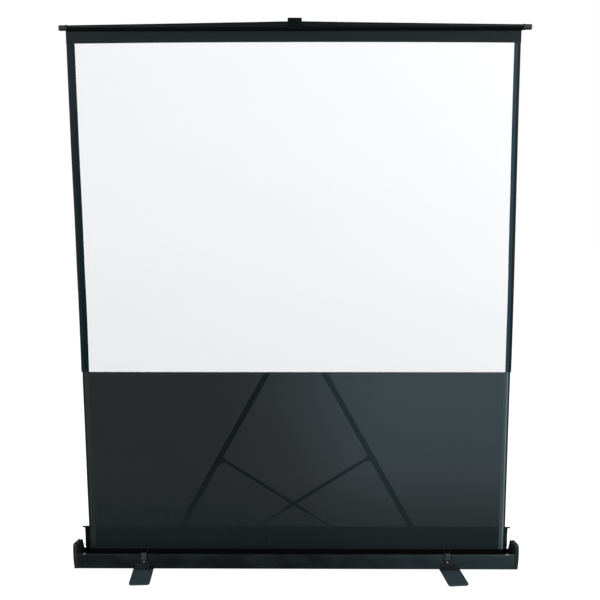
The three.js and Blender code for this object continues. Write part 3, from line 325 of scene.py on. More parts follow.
FINISHES = {
    # The case metal runs from dark on the left to lighter at the right end: painted light from the lamp on the
    # right
    "case_metal": (
        anodised_aluminium, "anodised_aluminium_black", "101819", "030b0c", "2a3a3d", 0.35, (-0.4, 0.5)),
    "bar_metal": (anodised_aluminium, "anodised_aluminium_deep_black", "080f0f", "060d0d", "0a1213", 0.2),
    "cap_plastic": (moulded_nylon,),
    "steel": (powder_coated_steel, "powder_coated_steel_black", "101415", "0d1112", "14191a", 0.45),
    "arm_paint": (powder_coated_steel, "powder_coated_steel_satin", "0e1213", "0c0f10", "12171a", 0.4),
    "foot_metal": (powder_coated_steel, "powder_coated_steel_blue_grey", "34444a", "2f3e44", "3a4b51", 0.5),
    "pad_rubber": (moulded_rubber,),
    "zinc": (zinc_plated_steel,),
    "rod_steel": (chromed_rod,),
    "lever": (powder_coated_steel, "powder_coated_steel_grey", "33383b", "2e3336", "3a3f42", 0.45),
    "tube_aluminium": (drawn_aluminium,),
    "white_cloth": (projection_vinyl,),
    "black_cloth": (masking_vinyl,),
    "scrim": (open_scrim,),
    # Edge strips of painted light on the curled edges: a painted highlight strip on the drop, painted sheen on its
    # hem and on the picture's side border, all lighter at the right
    "drop_painted_highlight": (edge_strip_painted_light, "sealed_selvedge_grey", "192225", "62737b", 0.5),
    "drop_hem_painted_sheen": (edge_strip_painted_light, "sealed_hem_grey", "121a1b", "36444a", 0.5),
    "border_painted_light": (edge_strip_painted_light, "sealed_hem_black", "0c1f26", "293d4a", 0.05),
    # The leader is near-black as painted shade inside the case
    "leader_painted_shade": (plain_black, "leader_cloth_black", "040606", "030505", "060809"),
    # The bar's insert is near-black as painted shade of the recess under the rail
    "insert_painted_shade": (plain_black, "extruded_vinyl_black", "050808", "040606", "070b0b"),
    "grip": (plain_black, "soft_grip_black", "080e0e", "060b0b", "0c1313"),
}
MADE = {}


def finish(slot):
    """The material of a slot, made once."""
    if slot not in MADE:
        make, *values = FINISHES[slot]
        MADE[slot] = make(*values)
    return MADE[slot]


# Meshes

# Edges are bevelled from the first angle on, in degrees, and stay sharp from the second
BEVELLED_FROM, SHARP_FROM = 38, 50
# Angle below which faces are joined into one
COPLANAR = 0.5
# Vertices nearer than this, in metres, are one
TOUCHING = 1e-6


def add_object(name, data):
    made = bpy.data.objects.new(name, data)
    bpy.context.scene.collection.objects.link(made)
    return made


def new_piece(name, vertices, faces, slots, face_slots=None, smooth_angle=35):
    """A mesh object with its materials, smooth below the given angle in degrees."""
    mesh = bpy.data.meshes.new(name)
    mesh.from_pydata([tuple(v) for v in vertices], [], faces)
    bm = bmesh.new()
    bm.from_mesh(mesh)
    bmesh.ops.recalc_face_normals(bm, faces=bm.faces)
    bm.to_mesh(mesh)
    bm.free()
    for slot in slots:
        mesh.materials.append(finish(slot))
    if face_slots is not None:
        mesh.polygons.foreach_set("material_index", face_slots)
    piece = add_object(name, mesh)
    shade(piece, smooth_angle)
    return piece


def shade(piece, angle):
    piece.data.polygons.foreach_set("use_smooth", [True] * len(piece.data.polygons))
    piece.data.set_sharp_from_angle(angle=math.radians(angle))


def apply_modifiers(piece):
    """Give a piece the mesh that its modifiers make."""
    depsgraph = bpy.context.evaluated_depsgraph_get()
    mesh = bpy.data.meshes.new_from_object(piece.evaluated_get(depsgraph))
    piece.modifiers.clear()
    piece.data = mesh


def round_edges(piece, width_mm, segments):
    """Bevel the sharp edges, and keep the large faces flat in their shading."""
    bevel = piece.modifiers.new("edges", "BEVEL")
    bevel.width = width_mm * MM
    bevel.segments = segments
    bevel.limit_method = "ANGLE"
    bevel.angle_limit = math.radians(BEVELLED_FROM)
    bevel.use_clamp_overlap = True
    apply_modifiers(piece)
    shade(piece, SHARP_FROM)
    flat = piece.modifiers.new("flat_faces", "WEIGHTED_NORMAL")
    flat.weight = 100
    flat.keep_sharp = True
    apply_modifiers(piece)


def attach(piece, body):
    """A piece moves with a body."""
    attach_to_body(piece, body)


def dress(piece, node):
    """A piece stands for a node and moves with its body."""
    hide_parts(node)
    attach(piece, BODY_OF[node])


def eased(node, width_mm, segments=2, look=None, form=None):
    """A node's shape, formed further if asked, with its edges rounded, standing for it."""
    mesh = frame["nodes"][node].data.copy()
    bm = bmesh.new()
    bm.from_mesh(mesh)
    bmesh.ops.remove_doubles(bm, verts=bm.verts, dist=TOUCHING)
    bmesh.ops.dissolve_limit(bm, angle_limit=math.radians(COPLANAR), verts=bm.verts, edges=bm.edges)
    if form:
        form(bm)
    bm.to_mesh(mesh)
    bm.free()
    mesh.materials.clear()
    mesh.materials.append(finish(look or SLOT_OF[node]))
    piece = add_object(f"{node}_finished", mesh)
    round_edges(piece, width_mm, segments)
    dress(piece, node)


def set_along(origin, axis):
    """Placement that puts a shape drawn along z on an origin, along an axis."""
    turn = Vector((0, 0, 1)).rotation_difference(Vector(axis)).to_matrix().to_4x4()
    return Matrix.Translation(Vector(origin)) @ turn


def turned(name, profile, slot, origin, axis, sides):
    """A turned piece: profile points are (radius, place along the axis) in metres."""
    vertices, rings = [], []
    for radius, along in profile:
        if radius == 0:
            rings.append([len(vertices)])
            vertices.append((0, 0, along))
            continue
        rings.append(list(range(len(vertices), len(vertices) + sides)))
        for i in range(sides):
            turn = 2 * math.pi * i / sides
            vertices.append((radius * math.cos(turn), radius * math.sin(turn), along))
    faces = []
    for a, b in zip(rings, rings[1:]):
        for i in range(sides):
            j = (i + 1) % sides
            if len(a) == 1 and len(b) > 1:
                faces.append((a[0], b[i], b[j]))
            elif len(b) == 1 and len(a) > 1:
                faces.append((a[i], a[j], b[0]))
            elif len(a) > 1:
                faces.append((a[i], a[j], b[j], b[i]))
    place = set_along(origin, axis)
    return new_piece(name, [place @ Vector(v) for v in vertices], faces, [slot])


def side_faces(count):
    """Faces between two rings of as many vertices, one after the other."""
    return [(i, (i + 1) % count, (i + 1) % count + count, i + count) for i in range(count)]


def extruded(name, outline, start, end, slot):
    """An outline of (y, z) points drawn out along x."""
    count = len(outline)
    vertices = [(x, y, z) for x in (start, end) for y, z in outline]
    faces = [tuple(range(count)), tuple(range(2 * count - 1, count - 1, -1))]
    return new_piece(name, vertices, faces + side_faces(count), [slot])


def arc(centre, radius, start, end, count):
    """Points on an arc, angles in degrees."""
    turns = [math.radians(start + (end - start) * i / count) for i in range(count + 1)]
    return [(centre[0] + radius * math.cos(t), centre[1] + radius * math.sin(t)) for t in turns]


def ring_profile(hole, radius, start, end, chamfer):
    """Closed profile of a bored cylinder with chamfered outer edges."""
    return [(hole, start), (radius - chamfer, start), (radius, start + chamfer), (radius, end - chamfer),
            (radius - chamfer, end), (hole, end), (hole, start)]


def dome(radius, rim, top, start, count):
    """Profile points of a dome up to its top, from an angle in radians above its rim."""
    turns = np.linspace(start, math.pi / 2, count)[:-1]
    return [(radius * math.cos(t), rim + (top - rim) * math.sin(t)) for t in turns] + [(0, top)]


def middle(node):
    low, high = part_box(node)
    return (low + high) / 2


# Case


def bowed_front(low, high, face, bow):
    """Points up a front wall that bulges forward a little in the middle."""
    count = 8
    shares = [i / count for i in range(count + 1)]
    return [(face + bow * (2 * share - 1) ** 2, low + (high - low) * share) for share in shares]


def trough_outline(sizes):
    """Section of the extrusion as (y, z): bowed front, lip with a bead, low rear wall with another."""
    low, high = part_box("case_trough")
    wall, bead, corner = sizes.wall, sizes.wall / 2, 3 * MM
    front, lip, rear_top = low.y + sizes.bow, low.y + sizes.lip, low.z + sizes.rear_height
    outline = arc((front + corner, low.z + corner), corner, 270, 180, 6)
    outline += bowed_front(low.z + 2 * corner, high.z - corner, low.y, sizes.bow)
    outline += arc((front + corner, high.z - corner), corner, 180, 90, 6)
    outline += arc((lip - bead, high.z - bead), bead, 90, -90, 6)
    outline += [(front + wall, high.z - wall), (front + wall, low.z + wall), (high.y - wall, low.z + wall)]
    outline += arc((high.y - bead, rear_top - bead), bead, 180, 0, 6)
    return outline + arc((high.y - corner, low.z + corner), corner, 0, -90, 6)


class SCREEN_OT_case(bpy.types.Operator):
    """Make the trough, its end caps and screws"""

    bl_idname = "screen.case"
    bl_label = "Case"

    def execute(self, context):
        sizes = context.scene.screen_case
        low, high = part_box("case_trough")
        trough = extruded("case_extrusion", trough_outline(sizes), low.x, high.x, "case_metal")
        dress(trough, "case_trough")
        for side, way in SIDES:
            eased(f"end_cap_{side}", 1.4, 3, form=lambda bm: self.bulge(bm, side, way))
            eased(f"foot_mount_{side}", 0.5)
            eased(f"foot_bolt_{side}", 0.5)
            self.cap_screws(side, way)
            self.lip_screw(side)
        return {"FINISHED"}

    def fall(self, side, z):
        """How far the outer face of the cap lies inward of its crest, at a height."""
        low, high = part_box(f"end_cap_{side}")
        crest_share = 0.6
        crest = low.z + crest_share * (high.z - low.z)
        return bpy.context.scene.screen_case.bulge * ((z - crest) / (crest - low.z)) ** 2

    def bulge(self, bm, side, way):
        """Bend the outer face of the cap so that it bulges sideways."""
        low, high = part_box(f"end_cap_{side}")
        inner, outer = (low.x, high.x) if way > 0 else (high.x, low.x)
        cuts = 12
        for i in range(1, cuts):
            level = low.z + (high.z - low.z) * i / cuts
            bmesh.ops.bisect_plane(bm, geom=[*bm.verts, *bm.edges, *bm.faces], dist=TOUCHING,
                                   plane_co=(0, 0, level), plane_no=(0, 0, 1))
        for vertex in bm.verts:
            share = (vertex.co.x - inner) / (outer - inner)
            in_outer_half = max(0, share * 2 - 1)
            vertex.co.x -= way * self.fall(side, vertex.co.z) * in_outer_half

    def lip_screw(self, side):
        """Countersunk cross-head screw that holds the cap to the lip."""
        node = f"cap_screw_{side}"
        low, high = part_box(node)
        origin = (middle(node).x, middle(node).y, low.z)
        head = cross_head(f"{node}_head", (high.x - low.x) / 2, high.z - low.z, origin, (0, 0, 1))
        dress(head, node)

    def cap_screws(self, side, way):
        """Two screws through the outer face of the cap into the extrusion."""
        low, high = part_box(f"end_cap_{side}")
        face = high.x if way > 0 else low.x
        z = low.z + 16 * MM
        sunk, radius, height = 0.3 * MM, 4.2 * MM, 1.6 * MM
        for place, y in (("front", low.y + 13 * MM), ("rear", high.y - 14 * MM)):
            origin = (face - way * (self.fall(side, z) + sunk), y, z)
            head = cross_head(f"case_screw_{side}_{place}", radius, height, origin, (way, 0, 0))
            attach(head, "base")


def cross_head(name, radius, height, origin, axis):
    """A low domed screw head with a cross recess."""
    rim = 0.35 * height
    profile = [(0, 0), (radius, 0)] + dome(radius, rim, height, 0, 7)
    head = turned(name, profile, "zinc", (0, 0, 0), (0, 0, 1), 32)
    cutter_mesh = bpy.data.meshes.new(name + "_recess")
    bm = bmesh.new()
    arm = Matrix.Diagonal((1.1 * radius, 0.22 * radius, 1.2 * height, 1))
    for turn in (0, math.pi / 2):
        place = Matrix.Translation((0, 0, height)) @ Matrix.Rotation(turn, 4, "Z") @ arm
        bmesh.ops.create_cube(bm, size=1, matrix=place)
    bm.to_mesh(cutter_mesh)
    bm.free()
    cutter = add_object(name + "_recess", cutter_mesh)
    cut = head.modifiers.new("recess", "BOOLEAN")
    cut.operation = "DIFFERENCE"
    cut.object = cutter
    cut.solver = "EXACT"
    cut.use_self = True
    apply_modifiers(head)
    bpy.data.objects.remove(cutter)
    head.data.transform(set_along(origin, axis))
    shade(head, 30)
    return head


class SCREEN_OT_lid(bpy.types.Operator):
    """Make the hinged rear lid and its hinge"""

    bl_idname = "screen.lid"
    bl_label = "Lid"

    def execute(self, context):
        eased("lid_panel", 0.4)
        eased("lid_hinge_rail", 0.4)
        node = "lid_hinge_rod"
        low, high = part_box(node)
        radius, length, chamfer = (high.z - low.z) / 2, high.x - low.x, 0.5 * MM
        profile = [(0, 0), (radius - chamfer, 0), (radius, chamfer), (radius, length - chamfer),
                   (radius - chamfer, length), (0, length)]
        start = (low.x, middle(node).y, middle(node).z)
        dress(turned("hinge_rod", profile, "steel", start, (1, 0, 0), 24), node)
        for side, _ in SIDES:
            eased(f"lid_end_{side}", 0.7, 3)
            eased(f"lid_keeper_{side}", 0.8, 3)
        return {"FINISHED"}


class SCREEN_OT_latches(bpy.types.Operator):
    """Make the two draw latches"""

    bl_idname = "screen.latches"
    bl_label = "Latches"

    def execute(self, context):
        for side, _ in SIDES:
            eased(f"latch_base_{side}", 0.4)
            eased(f"latch_lever_{side}", 0.5, 3)
            node = f"latch_rivet_{side}"
            low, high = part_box(node)
            radius, height = (high.x - low.x) / 2, high.y - low.y
            profile = [(0, 0), (radius, 0)] + dome(radius, 0, height, 0.1, 8)
            origin = (middle(node).x, high.y, middle(node).z)
            dress(turned(f"{node}_dome", profile, "zinc", origin, (0, -1, 0), 32), node)
        return {"FINISHED"}


class SCREEN_OT_feet(bpy.types.Operator):
    """Make the swivel feet and their pads"""

    bl_idname = "screen.feet"
    bl_label = "Feet"

    def execute(self, context):
        for side, _ in SIDES:
            eased(f"foot_{side}", 1.2, 3)
            for end in ("front", "rear"):
                eased(f"foot_pad_{side}_{end}", 0.5)
        return {"FINISHED"}


# Roller


class SCREEN_OT_roller(bpy.types.Operator):
    """Make the spring roller with the cloth that stays wound on it"""

    bl_idname = "screen.roller"
    bl_label = "Roller"

    def execute(self, context):
        for side, _ in SIDES:
            eased(f"roller_bracket_{side}", 0.5)
        low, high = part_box("roller_tube")
        radius = (high.z - low.z) / 2
        tube = ring_profile(radius - 2 * MM, radius, low.x, high.x, 0.3 * MM)
        centre = Vector((0, middle("roller_tube").y, middle("roller_tube").z))
        dress(turned("roller_tube_drawn", tube, "tube_aluminium", centre, (1, 0, 0), 64), "roller_tube")
        self.winding(centre, radius)
        return {"FINISHED"}

    def winding(self, centre, core):
        """Cloth wound in a flat spiral on the tube, with the layers showing at the ends."""
        low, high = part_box("wound_cloth")
        outer, inner = (high.z - low.z) / 2, core + 0.3 * MM
        turns, steps = 4, 48
        pitch = (outer - core) / turns
        # Each turn is drawn most of a pitch thick, so that a thin gap shows between the turns
        thick, end = 0.8 * pitch, outer - 0.9 * pitch
        count = turns * steps + 1
        spiral = [(inner + (end - inner) * i / (count - 1), 2 * math.pi * i / steps) for i in range(count)]
        points = [(radius + thick, turn) for radius, turn in spiral] + spiral[::-1]
        outline = [(centre.y + r * math.cos(turn), centre.z - r * math.sin(turn)) for r, turn in points]
        around = len(outline)
        vertices = [(x, y, z) for x in (low.x, high.x) for y, z in outline]
        faces = side_faces(around)
        for i in range(count - 1):
            face = (i, i + 1, around - 2 - i, around - 1 - i)
            faces += [face, tuple(v + around for v in reversed(face))]
        # The wound cloth is near-black, painted shade inside the case
        dress(new_piece("wound_screen_cloth", vertices, faces, ["leader_painted_shade"]), "wound_cloth")


# Arms and struts


def riveted_pin(node):
    """A zinc-plated pin along y with domed heads, from the box of its node."""
    low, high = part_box(node)
    head, length, cap = (high.x - low.x) / 2, high.y - low.y, 1.5 * MM
    shank = head - 3 * MM
    far = [(shank, length - cap)] + dome(head, length - cap, length, 0, 6)
    near = [(radius, length - along) for radius, along in reversed(far)]
    origin = (middle(node).x, low.y, middle(node).z)
    dress(turned(f"{node}_riveted", near + far, "zinc", origin, (0, 1, 0), 32), node)


def joint_named(name):
    return next(joint for joint in frame["joints"] if joint["name"] == name)


def along_axis(node, origin, axis):
    """Least and greatest reach of a node along an axis."""
    reaches = [(v.co - origin).dot(axis) for v in frame["nodes"][node].data.vertices]
    return min(reaches), max(reaches)


class SCREEN_OT_arms(bpy.types.Operator):
    """Make the folding arms, their brackets and pins"""

    bl_idname = "screen.arms"
    bl_label = "Folding arms"

    def execute(self, context):
        for side, _ in SIDES:
            eased(f"lower_arm_{side}", 1.6, 3)
            eased(f"upper_arm_{side}", 1.6, 3)
            eased(f"arm_bracket_{side}", 0.5)
            eased(f"strut_lug_{side}", 0.6)
            eased(f"strut_bracket_{side}", 0.5)
            riveted_pin(f"elbow_pin_{side}")
        return {"FINISHED"}


class SCREEN_OT_struts(bpy.types.Operator):
    """Make the gas struts"""

    bl_idname = "screen.struts"
    bl_label = "Gas struts"

    # How far the rod and the cylinder reach into their eyes
    sunk = 0.4 * MM

    def execute(self, context):
        sizes = context.scene.screen_strut
        for side, _ in SIDES:
            base = Vector(joint_named(f"strut_{side}_turn")["pos_m"])
            axis = Vector(joint_named(f"strut_{side}_slide")["axis"])
            self.rod(side, base, axis, sizes)
            self.cylinder(side, base, axis, sizes)
        return {"FINISHED"}

    def eye(self, name, centre, sizes, hole, body):
        """End fitting: a round eye with chamfered faces, bored for its pin."""
        half = sizes.eye_width / 2
        profile = ring_profile(hole, sizes.eye_radius, -half, half, 0.8 * MM)
        piece = turned(name, profile, "cap_plastic", centre, (0, 1, 0), 40)
        attach(piece, body)

    def rod(self, side, base, axis, sizes):
        """Rod with a thicker neck next to its eye."""
        node = f"gas_rod_{side}"
        end = along_axis(node, base, axis)[1]
        near = sizes.eye_radius - self.sunk
        neck, neck_end, chamfer = sizes.rod_radius + 1.4 * MM, near + 8 * MM, 0.5 * MM
        profile = [(0, near), (neck, near), (neck, neck_end), (sizes.rod_radius, neck_end + 1 * MM),
                   (sizes.rod_radius, end - chamfer), (sizes.rod_radius - chamfer, end), (0, end)]
        dress(turned(f"{node}_ground", profile, "rod_steel", base, axis, 32), node)
        self.eye(f"{node}_eye", base, sizes, 3.4 * MM, BODY_OF[node])

    def cylinder(self, side, base, axis, sizes):
        """Cylinder with a bore for the rod, a crimped groove near its mouth and a neck next to its eye."""
        node = f"gas_cylinder_{side}"
        mouth, far = along_axis(node, base, axis)
        lug = far - sizes.eye_radius
        end = lug - sizes.eye_radius + self.sunk
        radius, bore, chamfer = sizes.cylinder_radius, sizes.rod_radius + 0.6 * MM, 1.6 * MM
        depth, groove, slope, shoulder = mouth + 14 * MM, mouth + 9 * MM, 1.5 * MM, end - 9 * MM
        crimped, neck = radius - 1.1 * MM, radius - 2.6 * MM
        profile = [(0, depth), (bore, depth), (bore, mouth), (radius - chamfer, mouth),
                   (radius, mouth + chamfer), (radius, groove), (crimped, groove + slope),
                   (crimped, groove + 2 * slope), (radius, groove + 3 * slope), (radius, shoulder - 3 * MM),
                   (radius - 1 * MM, shoulder - 0.8 * MM), (neck, shoulder), (neck, end), (0, end)]
        dress(turned(f"{node}_drawn", profile, "arm_paint", base, axis, 48), node)
        self.eye(f"{node}_eye", base + axis * lug, sizes, 4.8 * MM, BODY_OF[node])


# Top bar


class SCREEN_OT_top_bar(bpy.types.Operator):
    """Make the crowned top bar, its ends, the hub and the grip"""

    bl_idname = "screen.top_bar"
    bl_label = "Top bar"

    def execute(self, context):
        self.bar(context.scene.screen_bar)
        for side, way in SIDES:
            self.bar_end(side, way)
        eased("top_hub", 0.5)
        eased("pull_grip", 1.3, 4, "grip")
        return {"FINISHED"}

    def bar(self, sizes):
        """Loft of a rounded section whose height falls away from the middle to both ends."""
        low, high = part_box("top_bar")
        vertices, faces, kinds = [], [], []
        sections, fall_power = 48, 0.9
        for i in range(sections + 1):
            x = low.x + (high.x - low.x) * i / sections
            fall = (sizes.middle_height - sizes.end_height) * (abs(x) / high.x) ** fall_power
            ring = self.section((high.y - low.y) / 2, low.z, sizes.middle_height - fall, sizes)
            vertices += [(x, y, z) for y, z in ring]
        count = len(ring)
        # Faces of the insert on each side of the section, apart from its floor
        insert = 4
        for i in range(sections):
            faces += [tuple(i * count + corner for corner in face) for face in side_faces(count)]
            kinds += [int(j < insert or j >= count - 1 - insert) for j in range(count)]
        faces += [tuple(range(count)), tuple(range(sections * count, (sections + 1) * count))]
        kinds += [0, 0]
        # The insert faces get a near-black material, painted shade under the rail
        dress(new_piece("crowned_bar", vertices, faces, ["bar_metal", "insert_painted_shade"], kinds, 25), "top_bar")

    def section(self, half, floor, height, sizes):
        """Section as (y, z): an insert that grips the cloth, set back under a rounded rail; its near-black colour,
        darker than the bar, is painted shade under the rail.
        """
        round_top, round_low, lip = sizes.crown_round, 1.2 * MM, 1 * MM
        inset, waist = half - sizes.step, floor + sizes.insert_height
        right = arc((inset - round_low, floor + round_low), round_low, -90, 0, 3)
        right += [(inset, waist)] + arc((half - lip, waist + lip), lip, -60, 0, 3)
        right += arc((half - round_top, floor + height - round_top), round_top, 0, 90, 8)
        return right + [(-y, z) for y, z in reversed(right)]

    def bar_end(self, side, way):
        """Moulded plug: a collar against the bar, a ring and a round pin."""
        node = f"bar_end_{side}"
        low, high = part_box(node)
        tip = high.x if way > 0 else -low.x
        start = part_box("top_bar")[1].x + 0.3 * MM
        ring_end, pin, ring = start + 7 * MM, 10.2 * MM, 11.4 * MM
        inner, outer, round_off = 0.6 * MM, 0.8 * MM, 2.2 * MM
        profile = [(0, start), (ring - inner, start), (ring, start + inner), (ring, ring_end - outer),
                   (ring - outer, ring_end), (pin, ring_end + inner)]
        profile += arc((pin - round_off, tip - round_off), round_off, 0, 90, 6) + [(0, tip)]
        centre = (0, 0, middle(node).z)
        dress(turned(f"{node}_moulded", profile, "cap_plastic", centre, (way, 0, 0), 56), node)


# Cloth


def clamp(value):
    return min(1, max(0, value))


def smooth_step(value):
    share = clamp(value)
    return share * share * (3 - 2 * share)


def bend(x, z, sizes):
    """Where a point of the flat cloth lies: leaning, softly waved to the rear, its side edges curled."""
    half, _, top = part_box("picture_sheet")[1]
    drop_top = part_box("drop_sheet")[1].z
    side = math.copysign(1, x)
    down = 1 - smooth_step(z / top)
    # Waves: tall ones that drift with x, wider ones half as deep, and none where the cloth is held
    wide_wave, drift, start = 0.9, 1.3, 0.7
    tall = 1 + math.sin(2 * math.pi * z / sizes.wave_length + drift * math.sin(3 * x))
    wide = 0.5 * (1 + math.sin(2 * math.pi * x / wide_wave + start))
    y = sizes.wave * (tall + wide) * math.sin(math.pi * clamp(z / top))
    # Curl: an arc along each edge that opens toward the top, where this share of its turn is left
    left_over = 0.45
    into_curl = max(0, abs(x) - (half - sizes.curl_width))
    flat = x - side * into_curl
    turn = (sizes.curl_right if side > 0 else sizes.curl_left) * (left_over + (1 - left_over) * down)
    bow = turn / sizes.curl_width
    if into_curl > 0:
        flat += side * math.sin(bow * into_curl) / bow
        y += (1 - math.cos(bow * into_curl)) / bow
    waist = sizes.waist_right if side > 0 else sizes.waist_left
    flat *= 1 - waist / half * (1 - smooth_step(z / drop_top))
    # Crown: the upper edge of the white rises in the middle, as the bar above it does
    rise = clamp((z - drop_top) / (top - sizes.top_border - drop_top))
    crown = sizes.crown * (1 - (x / half) ** 2) * rise * min(1, (top - z) / sizes.top_border)
    foot_share = 0.3
    lean = sizes.lean * (foot_share - smooth_step((z - drop_top) / (top - drop_top)))
    return flat + lean, y, z + crown


def cloth_sheet(name, xs, zs, back, reach, sizes, slots, slot_at):
    """A thin closed sheet over grid lines: it bends to the rear by at most reach, then is set back."""
    points = [bend(x, z, sizes) for z in zs for x in xs]
    vertices = []
    for offset in (back - sizes.thick / 2, back + sizes.thick / 2):
        vertices += [(x, min(y, reach) + offset, z) for x, y, z in points]
    wide, tall = len(xs), len(zs)
    layer = wide * tall
    faces, kinds = [], []
    for j in range(tall - 1):
        for i in range(wide - 1):
            a = j * wide + i
            quad = (a, a + 1, a + wide + 1, a + wide)
            faces += [quad, tuple(v + layer for v in reversed(quad))]
            x, z = (xs[i] + xs[i + 1]) / 2, (zs[j] + zs[j + 1]) / 2
            kinds += [slot_at(x, z, True), slot_at(x, z, False)]
    foot_and_right = [*range(wide), *range(2 * wide - 1, layer, wide)]
    top_and_left = [*range(layer - 2, layer - wide - 1, -1), *range(layer - 2 * wide, 0, -wide)]
    rim = foot_and_right + top_and_left
    faces += [(b, a, a + layer, b + layer) for a, b in zip(rim, rim[1:] + rim[:1])]
    kinds += [slot_at(None, None, False)] * len(rim)
    return new_piece(name, vertices, faces, slots, kinds, 60)


def grid_lines(low, high, step, extra):
    """Evenly spaced places from low to high, with the extra ones instead of any close to them."""
    count = max(1, round((high - low) / step))
    even = {round(low + (high - low) * i / count, 5) for i in range(count + 1)}
    lines = {v for v in even if all(abs(v - e) > step / 3 for e in extra)}
    lines |= {round(e, 5) for e in extra}
    return sorted(lines | {round(low, 5), round(high, 5)})


class SCREEN_OT_cloth(bpy.types.Operator):
    """Make the picture sheet with its black borders and the see-through drop"""

    bl_idname = "screen.cloth"
    bl_label = "Cloth"

    def execute(self, context):
        sizes = context.scene.screen_cloth
        low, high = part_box("picture_sheet")
        drop_low, drop_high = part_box("drop_sheet")
        picture_left, picture_right = low.x + sizes.left_border, high.x - sizes.right_border
        picture_top = high.z - sizes.top_border
        leader_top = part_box("case_trough")[1].z + 2 * MM
        curl_lines = [sizes.curl_width * share for share in (0.2, 0.4, 0.6, 0.8, 1)]
        # Along each side edge: a strip that is a painted highlight on the curl, then a black strip at the edge
        # that is painted shade
        highlight_strip_end, edge = curl_lines[4], curl_lines[2]
        edge_lines = [picture_left, picture_right]
        edge_lines += [way * (high.x - line) for way in (-1, 1) for line in curl_lines + [sizes.hem]]
        step = 0.03
        xs = grid_lines(low.x, high.x, step, edge_lines)
        wide_xs = [low.x - sizes.overhang] + xs + [high.x + sizes.overhang]
        zs = grid_lines(low.z, high.z, step, [picture_top])

        def picture_slot(x, z, front):
            """White in the middle, a hem on each side whose lighter colour is painted light, black behind and at
            the edges, where the outer black strip is painted shade on the curl.
            """
            if x is None or not front or high.x - abs(x) < edge or z > picture_top:
                return 1
            return 0 if picture_left < x < picture_right else 2

        def drop_slot(x, z, front):
            """Scrim over a near-black leader, painted shade inside the case, and on each side a hem whose lighter
            colour is painted sheen, a strip of painted highlight and a black edge of painted shade on the curl.
            """
            if z is None or z < leader_top:
                return 1
            inward = high.x - abs(x)
            return 4 if inward < edge else 2 if inward < highlight_strip_end else 3 if inward < sizes.hem else 0

        looks = ["white_cloth", "black_cloth", "border_painted_light"]
        reach = sizes.deepest - 2 * sizes.layer
        picture = cloth_sheet("picture_cloth", wide_xs, zs, sizes.layer, reach, sizes, looks, picture_slot)
        self.hang(picture, "picture_sheet", "white_cloth")
        self.border(wide_xs, picture_top, high.z, sizes)
        drop_zs = grid_lines(drop_low.z, drop_high.z + sizes.seam, step, [leader_top])
        looks = ["scrim", "leader_painted_shade", "drop_painted_highlight", "drop_hem_painted_sheen", "black_cloth"]
        drop = cloth_sheet("drop_cloth", xs, drop_zs, 2 * sizes.layer, reach, sizes, looks, drop_slot)
        self.hang(drop, "drop_sheet", "black_cloth")
        return {"FINISHED"}

    def border(self, xs, low, high, sizes):
        """Doubled black border under the bar. It goes down with the bar and then hides the white sheet."""
        zs = [low, (low + high) / 2, high]
        piece = cloth_sheet("top_border_cloth", xs, zs, 0, 0, sizes, ["black_cloth"], lambda *_: 0)
        attach(piece, BODY_OF["top_bar"])

    def hang(self, piece, node, slot):
        """Stands for its node and moves with its body, with a mesh of its own."""
        dress(piece, node)
        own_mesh(piece)


# Stage


